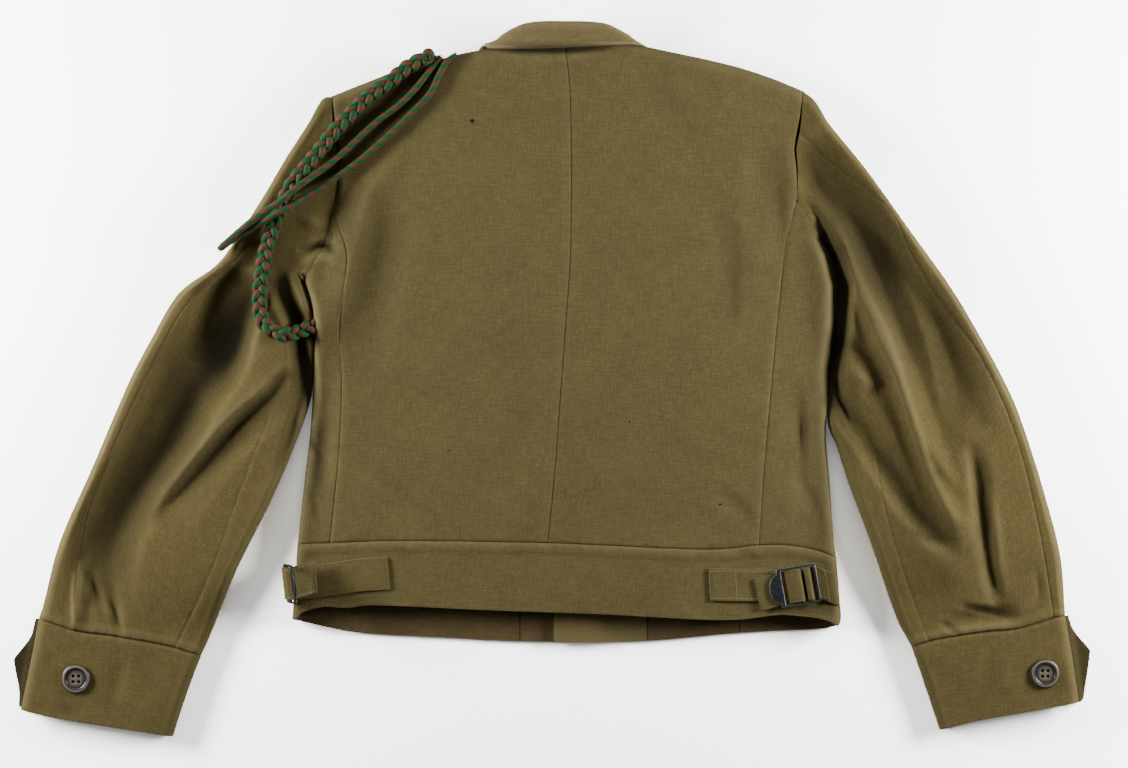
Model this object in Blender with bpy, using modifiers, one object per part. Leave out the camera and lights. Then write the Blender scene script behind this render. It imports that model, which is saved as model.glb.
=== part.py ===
"""A short wool uniform jacket laid flat, face down, with its sleeves swung out and down.

Seen from above, +X points right, +Y points to the collar and +Z up from the surface that
the jacket lies on. Lengths are millimetres here and become metres when a mesh is made.
The cloth is two layers, the upper one (back) and the lower one (front), which meet in
round folds along the outline. Each cut piece is a grid of points on one of the layers.
"""
import math

import bmesh
import bpy
import numpy as np
from mathutils import Matrix, Vector

MM = 0.001

# Cloth walls and gaps
WOOL = 1.6               # one layer of serge
DOUBLED = 2.6            # collar, waistband and cuffs: cloth, interlining, cloth
SEAM = 0.25              # from a piece's edge to the middle of its seam
FOLD_GAP = 0.48          # from a piece's edge to its seam, where the seam lies on a fold
UNDERLAY = 2.3           # what a front is lifted by a lapel or a shoulder loop under it
COLLAR_LIFT = 6.2        # what it is lifted by the collar folded under it
OVERLAP_ROOM = 1.2       # between the fronts where the right one lies over the left one
UPPER, LOWER = 1, -1     # the two layers

# Heights of the upper layer above the surface
BODY_HEIGHT = 16.5
SLEEVE_HEIGHT = 21.0
CUFF_HEIGHT = 15.0
LOWEST_TROUGH = 11.5
FOLD_RADIUS = 8.0        # how far in from the outline the upper layer starts to turn down
FOLD_MIDDLE = 0.45       # height of the fold's own edge, as a share of the upper layer's

# ---------------------------------------------------------------- outlines and seams
# Each line is named and runs through a few points (x, y), from its first word's end.
LINES = {
    "centre_back": [(-4, -152), (4, -66), (12, 46), (17, 120), (17, 260), (12, 313)],
    "band_seam_back": [(-237, -153), (-206, -152), (-141, -150), (-4, -152), (45, -154),
                       (138, -158), (184, -158), (225, -160), (265, -166)],
    "band_hem_back": [(-242, -221), (-225, -211), (-193, -212), (-169, -209), (-67, -214),
                      (45, -218), (138, -223), (175, -223), (212, -218), (240, -220),
                      (269, -226)],
    "band_seam_front": [(-237, -153), (-197, -167), (-123, -177), (-30, -183), (82, -183),
                        (193, -171), (265, -166)],
    "band_hem_front": [(-242, -221), (-197, -229), (-123, -239), (-30, -245), (82, -245),
                       (193, -233), (269, -226)],
    # right side
    "armhole_right": [(233, 269), (230, 244), (225, 215), (227, 195), (227, 166)],
    "underarm_right": [(227, 166), (235, 154), (243, 143), (251, 130)],
    "side_seam_right": [(192, -157), (196, -93), (202, -23), (210, 63), (218, 126), (227, 166)],
    "body_edge_right": [(265, -166), (263, -154), (258, -88), (255, -49), (259, -1),
                        (263, 41), (266, 83), (262, 109), (251, 130)],
    "shoulder_right": [(73, 313), (105, 306), (148, 297), (176, 290), (206, 280), (233, 269)],
    "neck_right": [(12, 313), (45, 315), (73, 313)],
    "sleeve_outer_right": [(233, 269), (245, 259), (257, 239), (291, 197), (334, 137),
                           (372, 84), (405, 28), (424, -8), (436, -36), (458, -105),
                           (473, -164), (478, -219)],
    "sleeve_inner_right": [(251, 130), (264, 109), (268.5, 83), (265.5, 41), (261.5, -1),
                           (259.5, -36), (264, -60), (277, -99), (295, -147), (321, -222),
                           (335, -249)],
    "hind_seam_right": [(230, 229), (266, 197), (312, 157), (340, 105), (368, 62), (396, 22),
                        (428, -48), (447, -118), (458, -175), (466, -222)],
    "cuff_seam_right": [(478, -219), (466, -222), (432, -232), (401, -235), (352, -243),
                        (335, -249)],
    "cuff_outer_right": [(478, -219), (485, -260), (491, -300)],
    "cuff_inner_right": [(335, -249), (349, -290), (361, -326)],
    "cuff_hem_right": [(491, -300), (431, -311), (397, -317), (361, -326)],
    "tab_right": [(480, -221), (484, -231), (503, -253), (500, -275), (496, -297), (492, -300)],
    # left side
    "armhole_left": [(-204, 263), (-202, 246), (-198, 213), (-199, 183), (-203, 154)],
    "underarm_left": [(-203, 154), (-210, 130), (-221, 108), (-231, 91)],
    "side_seam_left": [(-206, -152), (-200, -95), (-197, -60), (-195, 0), (-198, 46),
                       (-193, 85), (-190, 118), (-203, 154)],
    "body_edge_left": [(-237, -153), (-230, -91), (-225, -48), (-223, -12), (-222, 12),
                       (-221, 42), (-224, 68), (-231, 91)],
    "shoulder_left": [(-48, 309), (-85, 303), (-131, 290), (-154, 282), (-181, 273),
                      (-204, 263)],
    "neck_left": [(12, 313), (-20, 312), (-48, 309)],
    "sleeve_outer_left": [(-204, 263), (-213, 262), (-226, 240), (-247, 207), (-268, 171),
                          (-292, 133), (-311, 107), (-347, 80), (-371, 40), (-392, 0),
                          (-426, -79), (-458, -152), (-475, -214), (-478, -222)],
    "sleeve_inner_left": [(-231, 91), (-227, 68), (-223.5, 42), (-225, 12), (-228, -16),
                          (-236, -52), (-262, -114), (-293, -176), (-320, -242),
                          (-327, -257)],
    "hind_seam_left": [(-203, 236), (-232, 196), (-262, 150), (-292, 112), (-335, 72),
                       (-372, 8), (-405, -62), (-432, -130), (-442, -200), (-441, -234)],
    "cuff_seam_left": [(-478, -222), (-441, -234), (-405, -239), (-352, -249), (-327, -257)],
    "cuff_outer_left": [(-478, -222), (-486, -264), (-495, -307)],
    "cuff_inner_left": [(-327, -257), (-340, -292), (-353, -332)],
    "cuff_hem_left": [(-495, -307), (-466, -314), (-418, -322), (-353, -332)],
    "tab_left": [(-480, -224), (-484, -238), (-503, -261), (-500, -278), (-496, -294), (-495, -306)],
    # front edges, under the jacket: overlap, lapel roll and neck
    "front_edge_left": [(34, -183), (25, 110), (-34, 236), (-53, 257), (-48, 309)],
    "front_edge_right": [(1, -183), (5, 110), (64, 240), (83, 261), (73, 313)],
}
CORNERED = {"tab_left", "tab_right"}     # lines that turn sharply at their points

# ---------------------------------------------------------------- folds of the cloth
# Each fold runs through points (x, y, height), and falls away over a width on the left
# and on the right of its run. A positive height is a ridge, a negative one a trough.
FOLDS = [
    # name, width on the left, width on the right, points
    ("body edge right", 34, 34, [(258, -210, -4), (256, -60, -4), (262, 20, -3)]),
    ("body edge right, high", 26, 30, [(259, -5, 0), (264, 60, 4), (256, 118, 3),
                                       (232, 160, 0)]),
    ("body edge left", 30, 30, [(-238, -210, -4), (-226, -60, -4), (-224, 0, -2)]),
    ("body edge left, high", 30, 26, [(-224, 10, 0), (-218, 52, 5), (-224, 90, 3),
                                      (-206, 140, 0)]),
    ("back, left ridge", 26, 20, [(-140, 204, 0), (-176, 166, 4), (-184, 130, 5),
                                  (-196, 80, 4), (-203, 40, 0)]),
    ("back, left valley", 30, 45, [(-140, 178, 0), (-158, 120, -4), (-172, 50, -4),
                                   (-182, -30, 0)]),
    ("back, armhole valley right", 22, 28, [(196, 240, 0), (206, 190, -3), (204, 120, 0)]),
    ("back, right fold", 10, 34, [(163, 190, 0), (168, 100, -3), (168, 62, -4),
                                  (160, 30, 0)]),
    ("side panel right", 12, 20, [(228, 5, 0), (230, -50, -2.5), (222, -100, 0)]),
    ("side panel left", 12, 12, [(-206, -30, 0), (-226, -70, -2.5), (-232, -100, 0)]),
    ("right sleeve, outer band", 26, 26, [(236, 256, 0), (268, 220, 5), (322, 146, 4.5),
                                          (376, 66, 6), (414, -20, 2), (440, -80, 0)]),
    ("right sleeve, cap valley", 28, 30, [(236, 226, 0), (262, 190, -7), (300, 128, -9),
                                          (330, 76, -8), (362, 20, -5), (392, -40, 0)]),
    ("right sleeve, ridge", 22, 14, [(232, 176, 0), (262, 140, 7), (284, 92, 9),
                                     (306, 34, 9), (326, -10, 8), (346, -68, 7),
                                     (372, -132, 5), (382, -160, 0)]),
    ("right sleeve, under crevice", 12, 16, [(244, 150, 0), (262, 118, -10), (270, 88, -13),
                                             (268, 48, -12), (263, 10, -9), (260, -30, 0)]),
    ("right sleeve, pocket", 14, 12, [(274, 40, 0), (294, 14, -6), (306, -4, -6),
                                      (292, -22, 0)]),
    ("right sleeve, diagonal crease", 9, 14, [(276, -28, 0), (300, -64, -5), (324, -96, -6),
                                              (348, -128, -5), (376, -150, 0)]),
    ("right sleeve, long crease", 14, 10, [(392, -62, 0), (396, -105, -8), (400, -150, -10),
                                           (404, -190, -8), (418, -212, 0)]),
    ("right sleeve, short crease", 9, 14, [(346, -60, 0), (356, -84, -5), (374, -108, -4),
                                           (384, -130, 0)]),
    ("right sleeve, cuff gather", 14, 10, [(362, -228, 0), (386, -222, -4), (414, -220, -5),
                                           (436, -218, 0)]),
    ("left sleeve, outer strip", 20, 24, [(-240, 222, 0), (-272, 158, 4), (-330, 88, 8),
                                          (-372, 20, 7), (-410, -62, 7), (-440, -128, 5),
                                          (-462, -190, 0)]),
    ("left sleeve, dark band", 30, 34, [(-262, 110, 0), (-292, 72, -7), (-328, 14, -10),
                                        (-366, -56, -9), (-402, -118, -8), (-436, -150, -4),
                                        (-448, -190, 0)]),
    ("left sleeve, cap fold", 10, 22, [(-350, 76, 0), (-318, 84, -6), (-286, 104, -6),
                                       (-268, 128, 0)]),
    ("left sleeve, middle ridge", 20, 18, [(-300, 96, 0), (-300, 40, 5), (-280, 0, 6),
                                           (-262, -14, 0)]),
    ("left sleeve, long ridge", 12, 24, [(-254, -6, 0), (-296, -46, 5), (-330, -80, 6),
                                         (-362, -118, 5), (-384, -140, 0)]),
    ("left sleeve, long crease", 12, 10, [(-244, -12, 0), (-280, -50, -6), (-314, -80, -7),
                                          (-348, -112, -6), (-374, -136, 0)]),
    ("left sleeve, under crevice", 16, 14, [(-224, -40, 0), (-228, -10, -9), (-232, 26, -11),
                                            (-236, 56, -12), (-250, 84, -6), (-262, 100, 0)]),
    ("left sleeve, vent ridge", 9, 9, [(-430, -160, 0), (-436, -190, 4), (-440, -222, 3),
                                       (-441, -234, 0)]),
    ("left cuff gather", 9, 9, [(-412, -176, 0), (-408, -206, -4), (-404, -230, -3),
                                (-402, -244, 0)]),
]

# Places kept level, so that what is sewn on lies flat: (x, y, radius, height)
STRAP_BED = 15.5
BUTTON_BED = 14.5
LEVEL_PLACES = {
    "strap left": (-165, -180, 30, STRAP_BED),
    "strap left, free end": (-215, -187, 30, STRAP_BED),
    "strap right": (160, -191, 30, STRAP_BED),
    "buckle right": (227, -191, 24, STRAP_BED),
    "anchor strap right": (250, -192, 20, STRAP_BED),
    "button right": (458, -273, 24, BUTTON_BED),
    "button left": (-442, -278, 24, BUTTON_BED),
}

# What lies under the fronts, as corners (x, y)
UNDERLAYS = {
    "lapel_left": [(14, 138), (-34, 238), (-105, 222), (-62, 150)],
    "lapel_right": [(20, 140), (64, 242), (135, 226), (92, 152)],
    "shoulder_loop_left": [(-205, 260), (-194, 226), (-98, 258), (-107, 299)],
    "shoulder_loop_right": [(231, 264), (220, 228), (126, 262), (134, 297)],
}
COLLAR_SHADOWS = [
    [(-36, 248), (-42, 312), (-74, 300), (-104, 270), (-102, 236)],
    [(66, 252), (66, 316), (98, 304), (132, 276), (132, 240)],
]

# The collar's sections, from the left end under the front, round the back of the neck,
# to the right end: its seam, its roll and its free edge
COLLAR = [
    # seam (x, y, z), roll (x, y, z), edge (x, y, z)
    ((-46.5, 255, 6.9), (-36, 256, 4.4), (-96, 243, 1.4)),
    ((-51, 277, 6.9), (-38, 280, 4.6), (-94, 268, 1.4)),
    ((-49, 297, 7.2), (-41, 304, 5.5), (-80, 289, 1.8)),
    ((-46, 307, 9.0), (-44, 314, 9.0), (-64, 311, 6.5)),
    ((-41, 312, 12.5), (-42, 321, 19), (-57, 311, 17)),
    ((-18, 314.5, 16), (-22, 330, 33), (-24, 308, 21.5)),
    ((12, 315, 17), (12, 333, 38), (12, 309.5, 22.5)),
    ((44, 316.5, 16), (47, 331, 33), (48, 311.5, 21.5)),
    ((66, 316, 12.5), (68, 323, 19), (82, 315, 17)),
    ((71, 311, 9.0), (69, 318, 9.0), (90, 315, 6.5)),
    ((75, 302, 7.2), (67, 309, 5.5), (107, 294, 1.8)),
    ((78, 282, 6.9), (65, 285, 4.6), (122, 273, 1.4)),
    ((78, 257, 6.9), (64, 259, 4.4), (124, 248, 1.4)),
]
COLLAR_ROLL = 2.4        # radius of the roll, at the middle of the collar's thickness

# Straps and buckles. A buckle's own x runs along its strap, from the thumb tab (negative)
# to the rim of the anchor strap, its y across the strap and its z up through the frame.
STRAP_WIDTH = 30.0
STRAP_THICKNESS = 1.4
LYING = 0.4 + STRAP_THICKNESS / 2        # from the cloth to the middle of a strap on it
BUCKLE_LENGTH = 37.0
BUCKLE_WIDTH = 36.5
BUCKLE_THICKNESS = 2.0
SLOT_WIDTH = 32.5
SLOTS = [(-14.5, 0.25), (2.25, 8.75), (10.75, 16.0)]   # along x, between rims and bars
STRAP_BAR, ANCHOR_BAR = 1.25, 9.75                     # the two bars' middles
THUMB_TAB = (8.5, 13.0)                                # reach and half width
BAR_WRAP = 2.5           # from a bar's middle to the middle of a strap round it
BUCKLES = {
    # centre (x, y, z), turn from +X, lean of the anchor end downwards, in degrees
    "left": ((-243.0, -189.5, 21.0), 186.0, 73.0),
    "right": ((228.5, -191.0, STRAP_BED + 5.0), 10.0, 0.0),
}

# Buttons
BUTTON_DIAMETER = 27.0
BUTTON_THICKNESS = 3.0
BUTTON_HOLE = 2.4
BUTTON_HOLE_SPACING = 5.2
BUTTON_PLACES = {"left": (-442, -278), "right": (458, -273)}

# Shoulder cord: centre lines (x, y, lift above the cloth), chosen along the photo's cords
PLAIT_DIAMETER = 13.0
LOOP_DIAMETER = 6.5
CORD_GAP = 0.4
PLAIT_ROUTE = [
    (-118, 298, 0), (-134, 289, 0), (-150, 276, 0), (-170, 262, 0), (-186, 246, 0),
    (-202, 229, 0), (-214, 213, 0), (-229, 195, 0), (-241, 179, 0), (-248, 164, 0),
    (-256, 145, 0), (-263, 124, 0), (-267, 105, 0), (-270, 84, 0), (-270, 66, 0),
    (-266, 52, 0), (-256, 44, 1.5), (-243, 43, 4), (-233, 46, 4),
]
LOOP_ROUTE = [
    (-103, 299, 0), (-112, 288, 0), (-126, 270, 0), (-141, 255, 0), (-160, 241, 0),
    (-178, 225, 0), (-196, 208, 0.5), (-214, 193, 4), (-231, 180, 11.5), (-239, 173.5, 13),
    (-246, 167, 14), (-254, 161, 13), (-264, 155, 10.5), (-279, 144, 8.6), (-291, 134, 7.6),
    (-300, 126, 7), (-304.5, 122, 5.5), (-305.5, 121, 3.5), (-304, 122, 1), (-299, 126, 0),
    (-290, 132, 0), (-277, 139.5, 2.5), (-268, 144.5, 7), (-260, 149, 12), (-252, 153.5, 14),
    (-244, 158, 12.5), (-231, 167, 7), (-214, 178, 3), (-196, 190, 1), (-178, 203, 0),
    (-162, 217, 0), (-146, 231, 0), (-129, 248, 0), (-113, 265, 0), (-105, 281, 0),
    (-97, 295, 0), (-88, 301, 0),
]


class Line:
    """A curve in the plane, read by its share of the length or by distance."""

    def __init__(self, points):
        self.points = np.asarray(points, float)
        steps = np.linalg.norm(np.diff(self.points, axis=0), axis=1)
        self.run = np.concatenate([[0.0], np.cumsum(steps)])
        self.length = self.run[-1]

    def at(self, share):
        return self.at_distance(np.asarray(share) * self.length)

    def at_distance(self, distance):
        axes = range(self.points.shape[1])
        return np.stack([np.interp(distance, self.run, self.points[:, a]) for a in axes], axis=-1)

    def reversed(self):
        return Line(self.points[::-1])

    def joined(self, other):
        return Line(np.vstack([self.points, other.points[1:]]))

    def nearest_share(self, point):
        gaps = np.linalg.norm(self.points - np.asarray(point, float), axis=1)
        return self.run[int(np.argmin(gaps))] / self.length

    def between(self, start, end):
        """The stretch between two shares of the length."""
        return Line(self.at(np.linspace(start, end, 24)))


def smooth(points, steps=10):
    """A smooth curve through the points, with tangents from their neighbours."""
    points = np.asarray(points, float)
    knots = np.concatenate([[0.0], np.cumsum(np.linalg.norm(np.diff(points, axis=0), axis=1))])
    tangents = np.empty_like(points)
    tangents[1:-1] = (points[2:] - points[:-2]) / (knots[2:] - knots[:-2])[:, None]
    tangents[0] = (points[1] - points[0]) / (knots[1] - knots[0])
    tangents[-1] = (points[-1] - points[-2]) / (knots[-1] - knots[-2])
    curve = [points[0]]
    for i in range(len(points) - 1):
        span = knots[i + 1] - knots[i]
        for t in np.linspace(0, 1, steps + 1)[1:]:
            a = (1 + 2 * t) * (1 - t) ** 2 * points[i] + t * (1 - t) ** 2 * span * tangents[i]
            b = t * t * (3 - 2 * t) * points[i + 1] + t * t * (t - 1) * span * tangents[i + 1]
            curve.append(a + b)
    return np.array(curve)


LINE = {name: Line(points if name in CORNERED else smooth(points))
        for name, points in LINES.items()}


# ---------------------------------------------------------------- heights of the cloth
def ease(t):
    t = np.clip(t, 0.0, 1.0)
    return t * t * (3 - 2 * t)


def nearest_on(line_points, x, y):
    """Distance to a run of points, the side it is on, and the place along it."""
    best = np.full(np.shape(x), np.inf)
    side = np.zeros(np.shape(x))
    place = np.zeros(np.shape(x))
    for i, (a, b) in enumerate(zip(line_points[:-1], line_points[1:])):
        dx, dy = b[0] - a[0], b[1] - a[1]
        t = np.clip(((x - a[0]) * dx + (y - a[1]) * dy) / (dx * dx + dy * dy), 0, 1)
        gx, gy = x - (a[0] + t * dx), y - (a[1] + t * dy)
        gap = np.hypot(gx, gy)
        nearer = gap < best
        best = np.where(nearer, gap, best)
        side = np.where(nearer, dx * gy - dy * gx, side)
        place = np.where(nearer, i + t, place)
    return best, side, place


def fold_height(x, y):
    """The ridges and troughs of the upper layer, added up."""
    total = np.zeros(np.shape(x))
    for _, left, right, points in FOLDS:
        gap, side, place = nearest_on(points, x, y)
        crest = np.interp(place, np.arange(len(points)), [p[2] for p in points])
        reach = np.clip(gap / np.where(side > 0, left, right), 0, 1)
        total += crest * (1 - reach ** 2) ** 2
    return total


def upper_height(x, y):
    """Height of the upper layer, away from the folds of the outline."""
    sleeve = ease((np.abs(x - 10) - 215) / 50)
    cuff = ease((-y - 150) / 90) * ease((np.abs(x) - 275) / 20)
    base = BODY_HEIGHT + (SLEEVE_HEIGHT - BODY_HEIGHT) * sleeve
    base = base + (CUFF_HEIGHT - base) * cuff
    height = np.maximum(base + fold_height(x, y), LOWEST_TROUGH)
    for cx, cy, radius, level in LEVEL_PLACES.values():
        share = 1 - ease((np.hypot(x - cx, y - cy) - radius) / 14)
        height = height + (level - height) * share
    return height


def outside(corners, x, y):
    """Distance out of a convex outline, negative inside."""
    corners = np.asarray(corners, float)
    middle = corners.mean(axis=0)
    worst = np.full(np.shape(x), -np.inf)
    for a, b in zip(corners, np.roll(corners, -1, axis=0)):
        normal = np.array([b[1] - a[1], a[0] - b[0]])
        normal /= np.linalg.norm(normal)
        if normal @ (middle - a) > 0:
            normal = -normal
        worst = np.maximum(worst, (x - a[0]) * normal[0] + (y - a[1]) * normal[1])
    return worst


def lower_height(x, y):
    """Height of the lower layer's outer face: on the surface, or on what lies under it."""
    height = np.zeros(np.shape(x))
    for corners in UNDERLAYS.values():
        height = np.maximum(height, UNDERLAY * (1 - ease((outside(corners, x, y) - 6) / 40)))
    for corners in COLLAR_SHADOWS:
        height = np.maximum(height, COLLAR_LIFT * (1 - ease((outside(corners, x, y) - 4) / 50)))
    return height


def fold_lines():
    """The outline's folds: over the shoulders and sleeves, and down each side."""
    for hand in ("left", "right"):
        shoulder = LINE["shoulder_" + hand]
        outer = shoulder.joined(LINE["sleeve_outer_" + hand])
        yield outer.joined(LINE["cuff_outer_" + hand])
        yield LINE["sleeve_inner_" + hand].joined(LINE["cuff_inner_" + hand])
        yield LINE["body_edge_" + hand]
        yield LINE["band_edge_" + hand]


def add_band_edges():
    for hand in ("left", "right"):
        ends = [LINE["band_seam_back"], LINE["band_hem_back"]]
        share = 0 if hand == "left" else 1
        LINE["band_edge_" + hand] = Line([line.at(share) for line in ends])


add_band_edges()
FOLD_POINTS = [line.points for line in fold_lines()]


def lift(x, y):
    """0 on the outline's folds, 1 where the layers lie flat."""
    share = np.ones(np.shape(x))
    for points in FOLD_POINTS:
        gap, _, _ = nearest_on(points, x, y)
        share = np.minimum(share, gap / FOLD_RADIUS)
    return np.sqrt(1 - (1 - np.clip(share, 0, 1)) ** 2)


def surface(x, y, layer=UPPER):
    """Height of a layer's outer face."""
    top, bottom = upper_height(x, y), lower_height(x, y)
    middle = bottom + FOLD_MIDDLE * (top - bottom)
    rise = lift(x, y)
    upper = middle + np.maximum((top - middle) * rise, FOLD_GAP)
    lower = middle - np.maximum((middle - bottom) * rise, FOLD_GAP)
    return np.where(np.asarray(layer) > 0, upper, lower)


# ---------------------------------------------------------------- grids
SEAM_STEPS = [SEAM, 1.5]                              # from a seam inwards
RING_STEPS = [SEAM, 0.6, 2.4, FOLD_RADIUS]       # from a seam that runs into a fold
FOLD_STEPS = [0.0, 0.25, 2.0, FOLD_RADIUS]       # from a fold inwards


def marks(length, stops, counts, first, last):
    """Shares of a length: exact steps at both ends, even ones between the stops."""
    knots = [first[-1] / length, *stops, 1 - last[-1] / length]
    inner = [knots[0]]
    for a, b, count in zip(knots, knots[1:], counts):
        inner += list(np.linspace(a, b, count + 1)[1:])
    ends = [1 - d / length for d in last[-2::-1]]
    return np.array([*(d / length for d in first[:-1]), *inner, *ends])


def squeezed(length, first, last):
    """The end steps, drawn together where a row is short."""
    room = 0.8 * length - 2 * SEAM
    need = first[-1] + last[-1] - 2 * SEAM
    if need <= room:
        return first, last
    return [[min(d, SEAM) + max(d - SEAM, 0) * room / need for d in steps]
            for steps in (first, last)]


class Patch:
    """A four-sided piece of the plan: two long sides and the ends between them."""

    def __init__(self, side_a, side_b, start, end):
        self.side_a, self.side_b, self.start, self.end = side_a, side_b, start, end

    def row(self, share_a, share_b):
        """The line across the patch between a place on each side."""
        u = np.linspace(0, 1, 40)
        v = (share_a + share_b) / 2
        line = (1 - v) * self.start.at(u) + v * self.end.at(u)
        shift_a = self.side_a.at(share_a) - line[0]
        shift_b = self.side_b.at(share_b) - line[-1]
        return Line(line + (1 - u)[:, None] * shift_a + u[:, None] * shift_b)

    def strip(self, shares_a, shares_b, first, last, columns, stops=(), last_of=None):
        """Rows of plan points. last_of gives a row its own steps at the far end."""
        rows = []
        for i, (share_a, share_b) in enumerate(zip(shares_a, shares_b)):
            line = self.row(share_a, share_b)
            finish = last_of(i) if last_of else last
            begin, finish = squeezed(line.length, first, finish)
            shares = marks(line.length, stops, columns, begin, finish)
            rows.append(line.at(shares))
        return np.array(rows)


def finish_object(name, bm, material):
    mesh = bpy.data.meshes.new(name)
    bm.to_mesh(mesh)
    bm.free()
    mesh.materials.append(material)
    obj = bpy.data.objects.new(name, mesh)
    PARTS.objects.link(obj)
    return obj


def cloth(name, rows, thickness, material, layers=None, offset=-1.0):
    """A wall of cloth over rows of points, thickened inwards."""
    rows = np.asarray(rows, float)
    count_v, count_u = rows.shape[:2]
    bm = bmesh.new()
    bmesh.ops.create_grid(bm, x_segments=count_u - 1, y_segments=count_v - 1, size=0.5)
    upper = {}
    for vert in bm.verts:
        column = round((vert.co.x + 0.5) * (count_u - 1))
        row = round((vert.co.y + 0.5) * (count_v - 1))
        vert.co = Vector(rows[row, column]) * MM
        upper[vert] = layers is None or layers[column] > 0
    bm.normal_update()
    facing = sum(face.normal.z * face.calc_area() * (1 if upper[face.verts[0]] else -1)
                 for face in bm.faces)
    if facing < 0:
        bmesh.ops.reverse_faces(bm, faces=bm.faces[:])
    for face in bm.faces:
        face.smooth = True
    obj = finish_object(name, bm, material)
    wall = obj.modifiers.new("wall", "SOLIDIFY")
    wall.thickness = thickness * MM
    wall.offset = offset
    return obj


def raised(plan, layers, extra=None):
    """Plan rows given the height of their layer."""
    z = surface(plan[..., 0], plan[..., 1], np.broadcast_to(layers, plan.shape[:2]))
    if extra is not None:
        z = z + extra(plan[..., 0], plan[..., 1])
    return np.dstack([plan, z])


def panel(name, plan, layer, thickness, material, extra=None):
    layers = np.full(plan.shape[1], layer)
    return cloth(name, raised(plan, layers, extra), thickness, material, layers)


# ---------------------------------------------------------------- body
EDGE_ROWS = 10           # up the body edge, from the waistband to the underarm
UNDERARM_ROWS = 3        # round the underarm
ARMHOLE_ROWS = 6         # from there to the shoulder
SHOULDER_COLUMNS = 6     # along the shoulder line
NECK_COLUMNS = 2         # from the centre back to the shoulder line
NARROW_END = 5.0         # where a side panel ends, below its pointed top


def side_seam_shares(hand):
    """Places up a side seam, level with the ends of the body edge and the underarm."""
    edge, underarm = LINE["body_edge_" + hand], LINE["underarm_" + hand]
    corner = edge.length / (edge.length + underarm.length)
    return marks(LINE["side_seam_" + hand].length, [corner], (EDGE_ROWS, UNDERARM_ROWS),
                 SEAM_STEPS, [NARROW_END])


def build_backs():
    for hand in ("left", "right"):
        seam, armhole = LINE["side_seam_" + hand], LINE["armhole_" + hand].reversed()
        side = seam.joined(armhole)
        centre = LINE["centre_back"]
        band = LINE["band_seam_back"]
        start = band.between(band.nearest_share(centre.at(0)), band.nearest_share(side.at(0)))
        neck, shoulder = LINE["neck_" + hand], LINE["shoulder_" + hand]
        patch = Patch(centre, side, start, neck.joined(shoulder))
        corner = seam.length / side.length
        armhole_shares = marks(armhole.length, [], (ARMHOLE_ROWS,), [0.0, 0.01], FOLD_STEPS)[1:]
        shares = np.concatenate([side_seam_shares(hand) * corner,
                                 corner + armhole_shares * (1 - corner)])
        neck_share = neck.length / (neck.length + shoulder.length)
        plan = patch.strip(shares, shares, SEAM_STEPS, RING_STEPS,
                           (NECK_COLUMNS, SHOULDER_COLUMNS), stops=[neck_share])
        panel("back_" + hand, plan, UPPER, WOOL, SERGE)


def build_side_backs():
    for hand in ("left", "right"):
        seam = LINE["side_seam_" + hand]
        edge, underarm = LINE["body_edge_" + hand], LINE["underarm_" + hand].reversed()
        side = edge.joined(underarm)
        band = LINE["band_seam_back"]
        start = band.between(band.nearest_share(seam.at(0)), band.nearest_share(side.at(0)))
        top = Line([seam.at(1), seam.at(1) + 0.01])
        corner = edge.length / side.length
        shares = side_seam_shares(hand)
        plan = Patch(seam, side, start, top).strip(
            shares, shares, SEAM_STEPS, FOLD_STEPS, [3],
            last_of=lambda i: RING_STEPS if shares[i] > corner - 1e-6 else FOLD_STEPS)
        panel("side_back_" + hand, plan, UPPER, WOOL, SERGE)


def over_the_left(rise):
    """The right front's lift over the left front, where they overlap."""
    def lifted(x, y):
        return rise * (1 - ease((x - 37) / 25)) * (1 - ease((y - 150) / 30))
    return lifted


def build_fronts():
    for hand in ("left", "right"):
        edge, underarm = LINE["body_edge_" + hand], LINE["underarm_" + hand].reversed()
        armhole = LINE["armhole_" + hand].reversed()
        side = edge.joined(underarm).joined(armhole)
        front = LINE["front_edge_" + hand]
        band = LINE["band_seam_front"]
        start = band.between(band.nearest_share(front.at(0)), band.nearest_share(side.at(0)))
        patch = Patch(front, side, start, LINE["shoulder_" + hand])
        corners = [edge.length / side.length, 1 - armhole.length / side.length]
        counts = (EDGE_ROWS, UNDERARM_ROWS, ARMHOLE_ROWS)
        shares = [marks(line.length, corners, counts, SEAM_STEPS, FOLD_STEPS)
                  for line in (front, side)]
        plan = patch.strip(
            *shares, [0.0], FOLD_STEPS, [SHOULDER_COLUMNS],
            last_of=lambda i: RING_STEPS if shares[1][i] > corners[0] - 1e-6 else FOLD_STEPS)
        extra = over_the_left(WOOL + OVERLAP_ROOM) if hand == "right" else None
        panel("front_" + hand, plan, LOWER, WOOL, SERGE, extra)


def build_waistband():
    back = Patch(LINE["band_edge_left"], LINE["band_edge_right"],
                 LINE["band_seam_back"], LINE["band_hem_back"])
    shares = marks(LINE["band_edge_left"].length, [], [3], SEAM_STEPS, [0.0, 3.0])
    plan = back.strip(shares, shares, FOLD_STEPS, FOLD_STEPS, [26])
    panel("waistband_back", plan, UPPER, DOUBLED, SERGE)
    seam, hem = LINE["band_seam_front"], LINE["band_hem_front"]
    for hand in ("left", "right"):
        end = LINE["front_edge_" + hand].at(0)
        inner = Line([end, (end[0] - 1, -245)])
        start = seam.between(seam.nearest_share(end), 0 if hand == "left" else 1)
        finish = hem.between(hem.nearest_share(inner.at(1)), 0 if hand == "left" else 1)
        patch = Patch(inner, LINE["band_edge_" + hand], start, finish)
        plan = patch.strip(shares, shares, SEAM_STEPS, FOLD_STEPS, [10])
        extra = over_the_left(DOUBLED + OVERLAP_ROOM) if hand == "right" else None
        panel("waistband_front_" + hand, plan, LOWER, DOUBLED, SERGE, extra)


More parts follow.
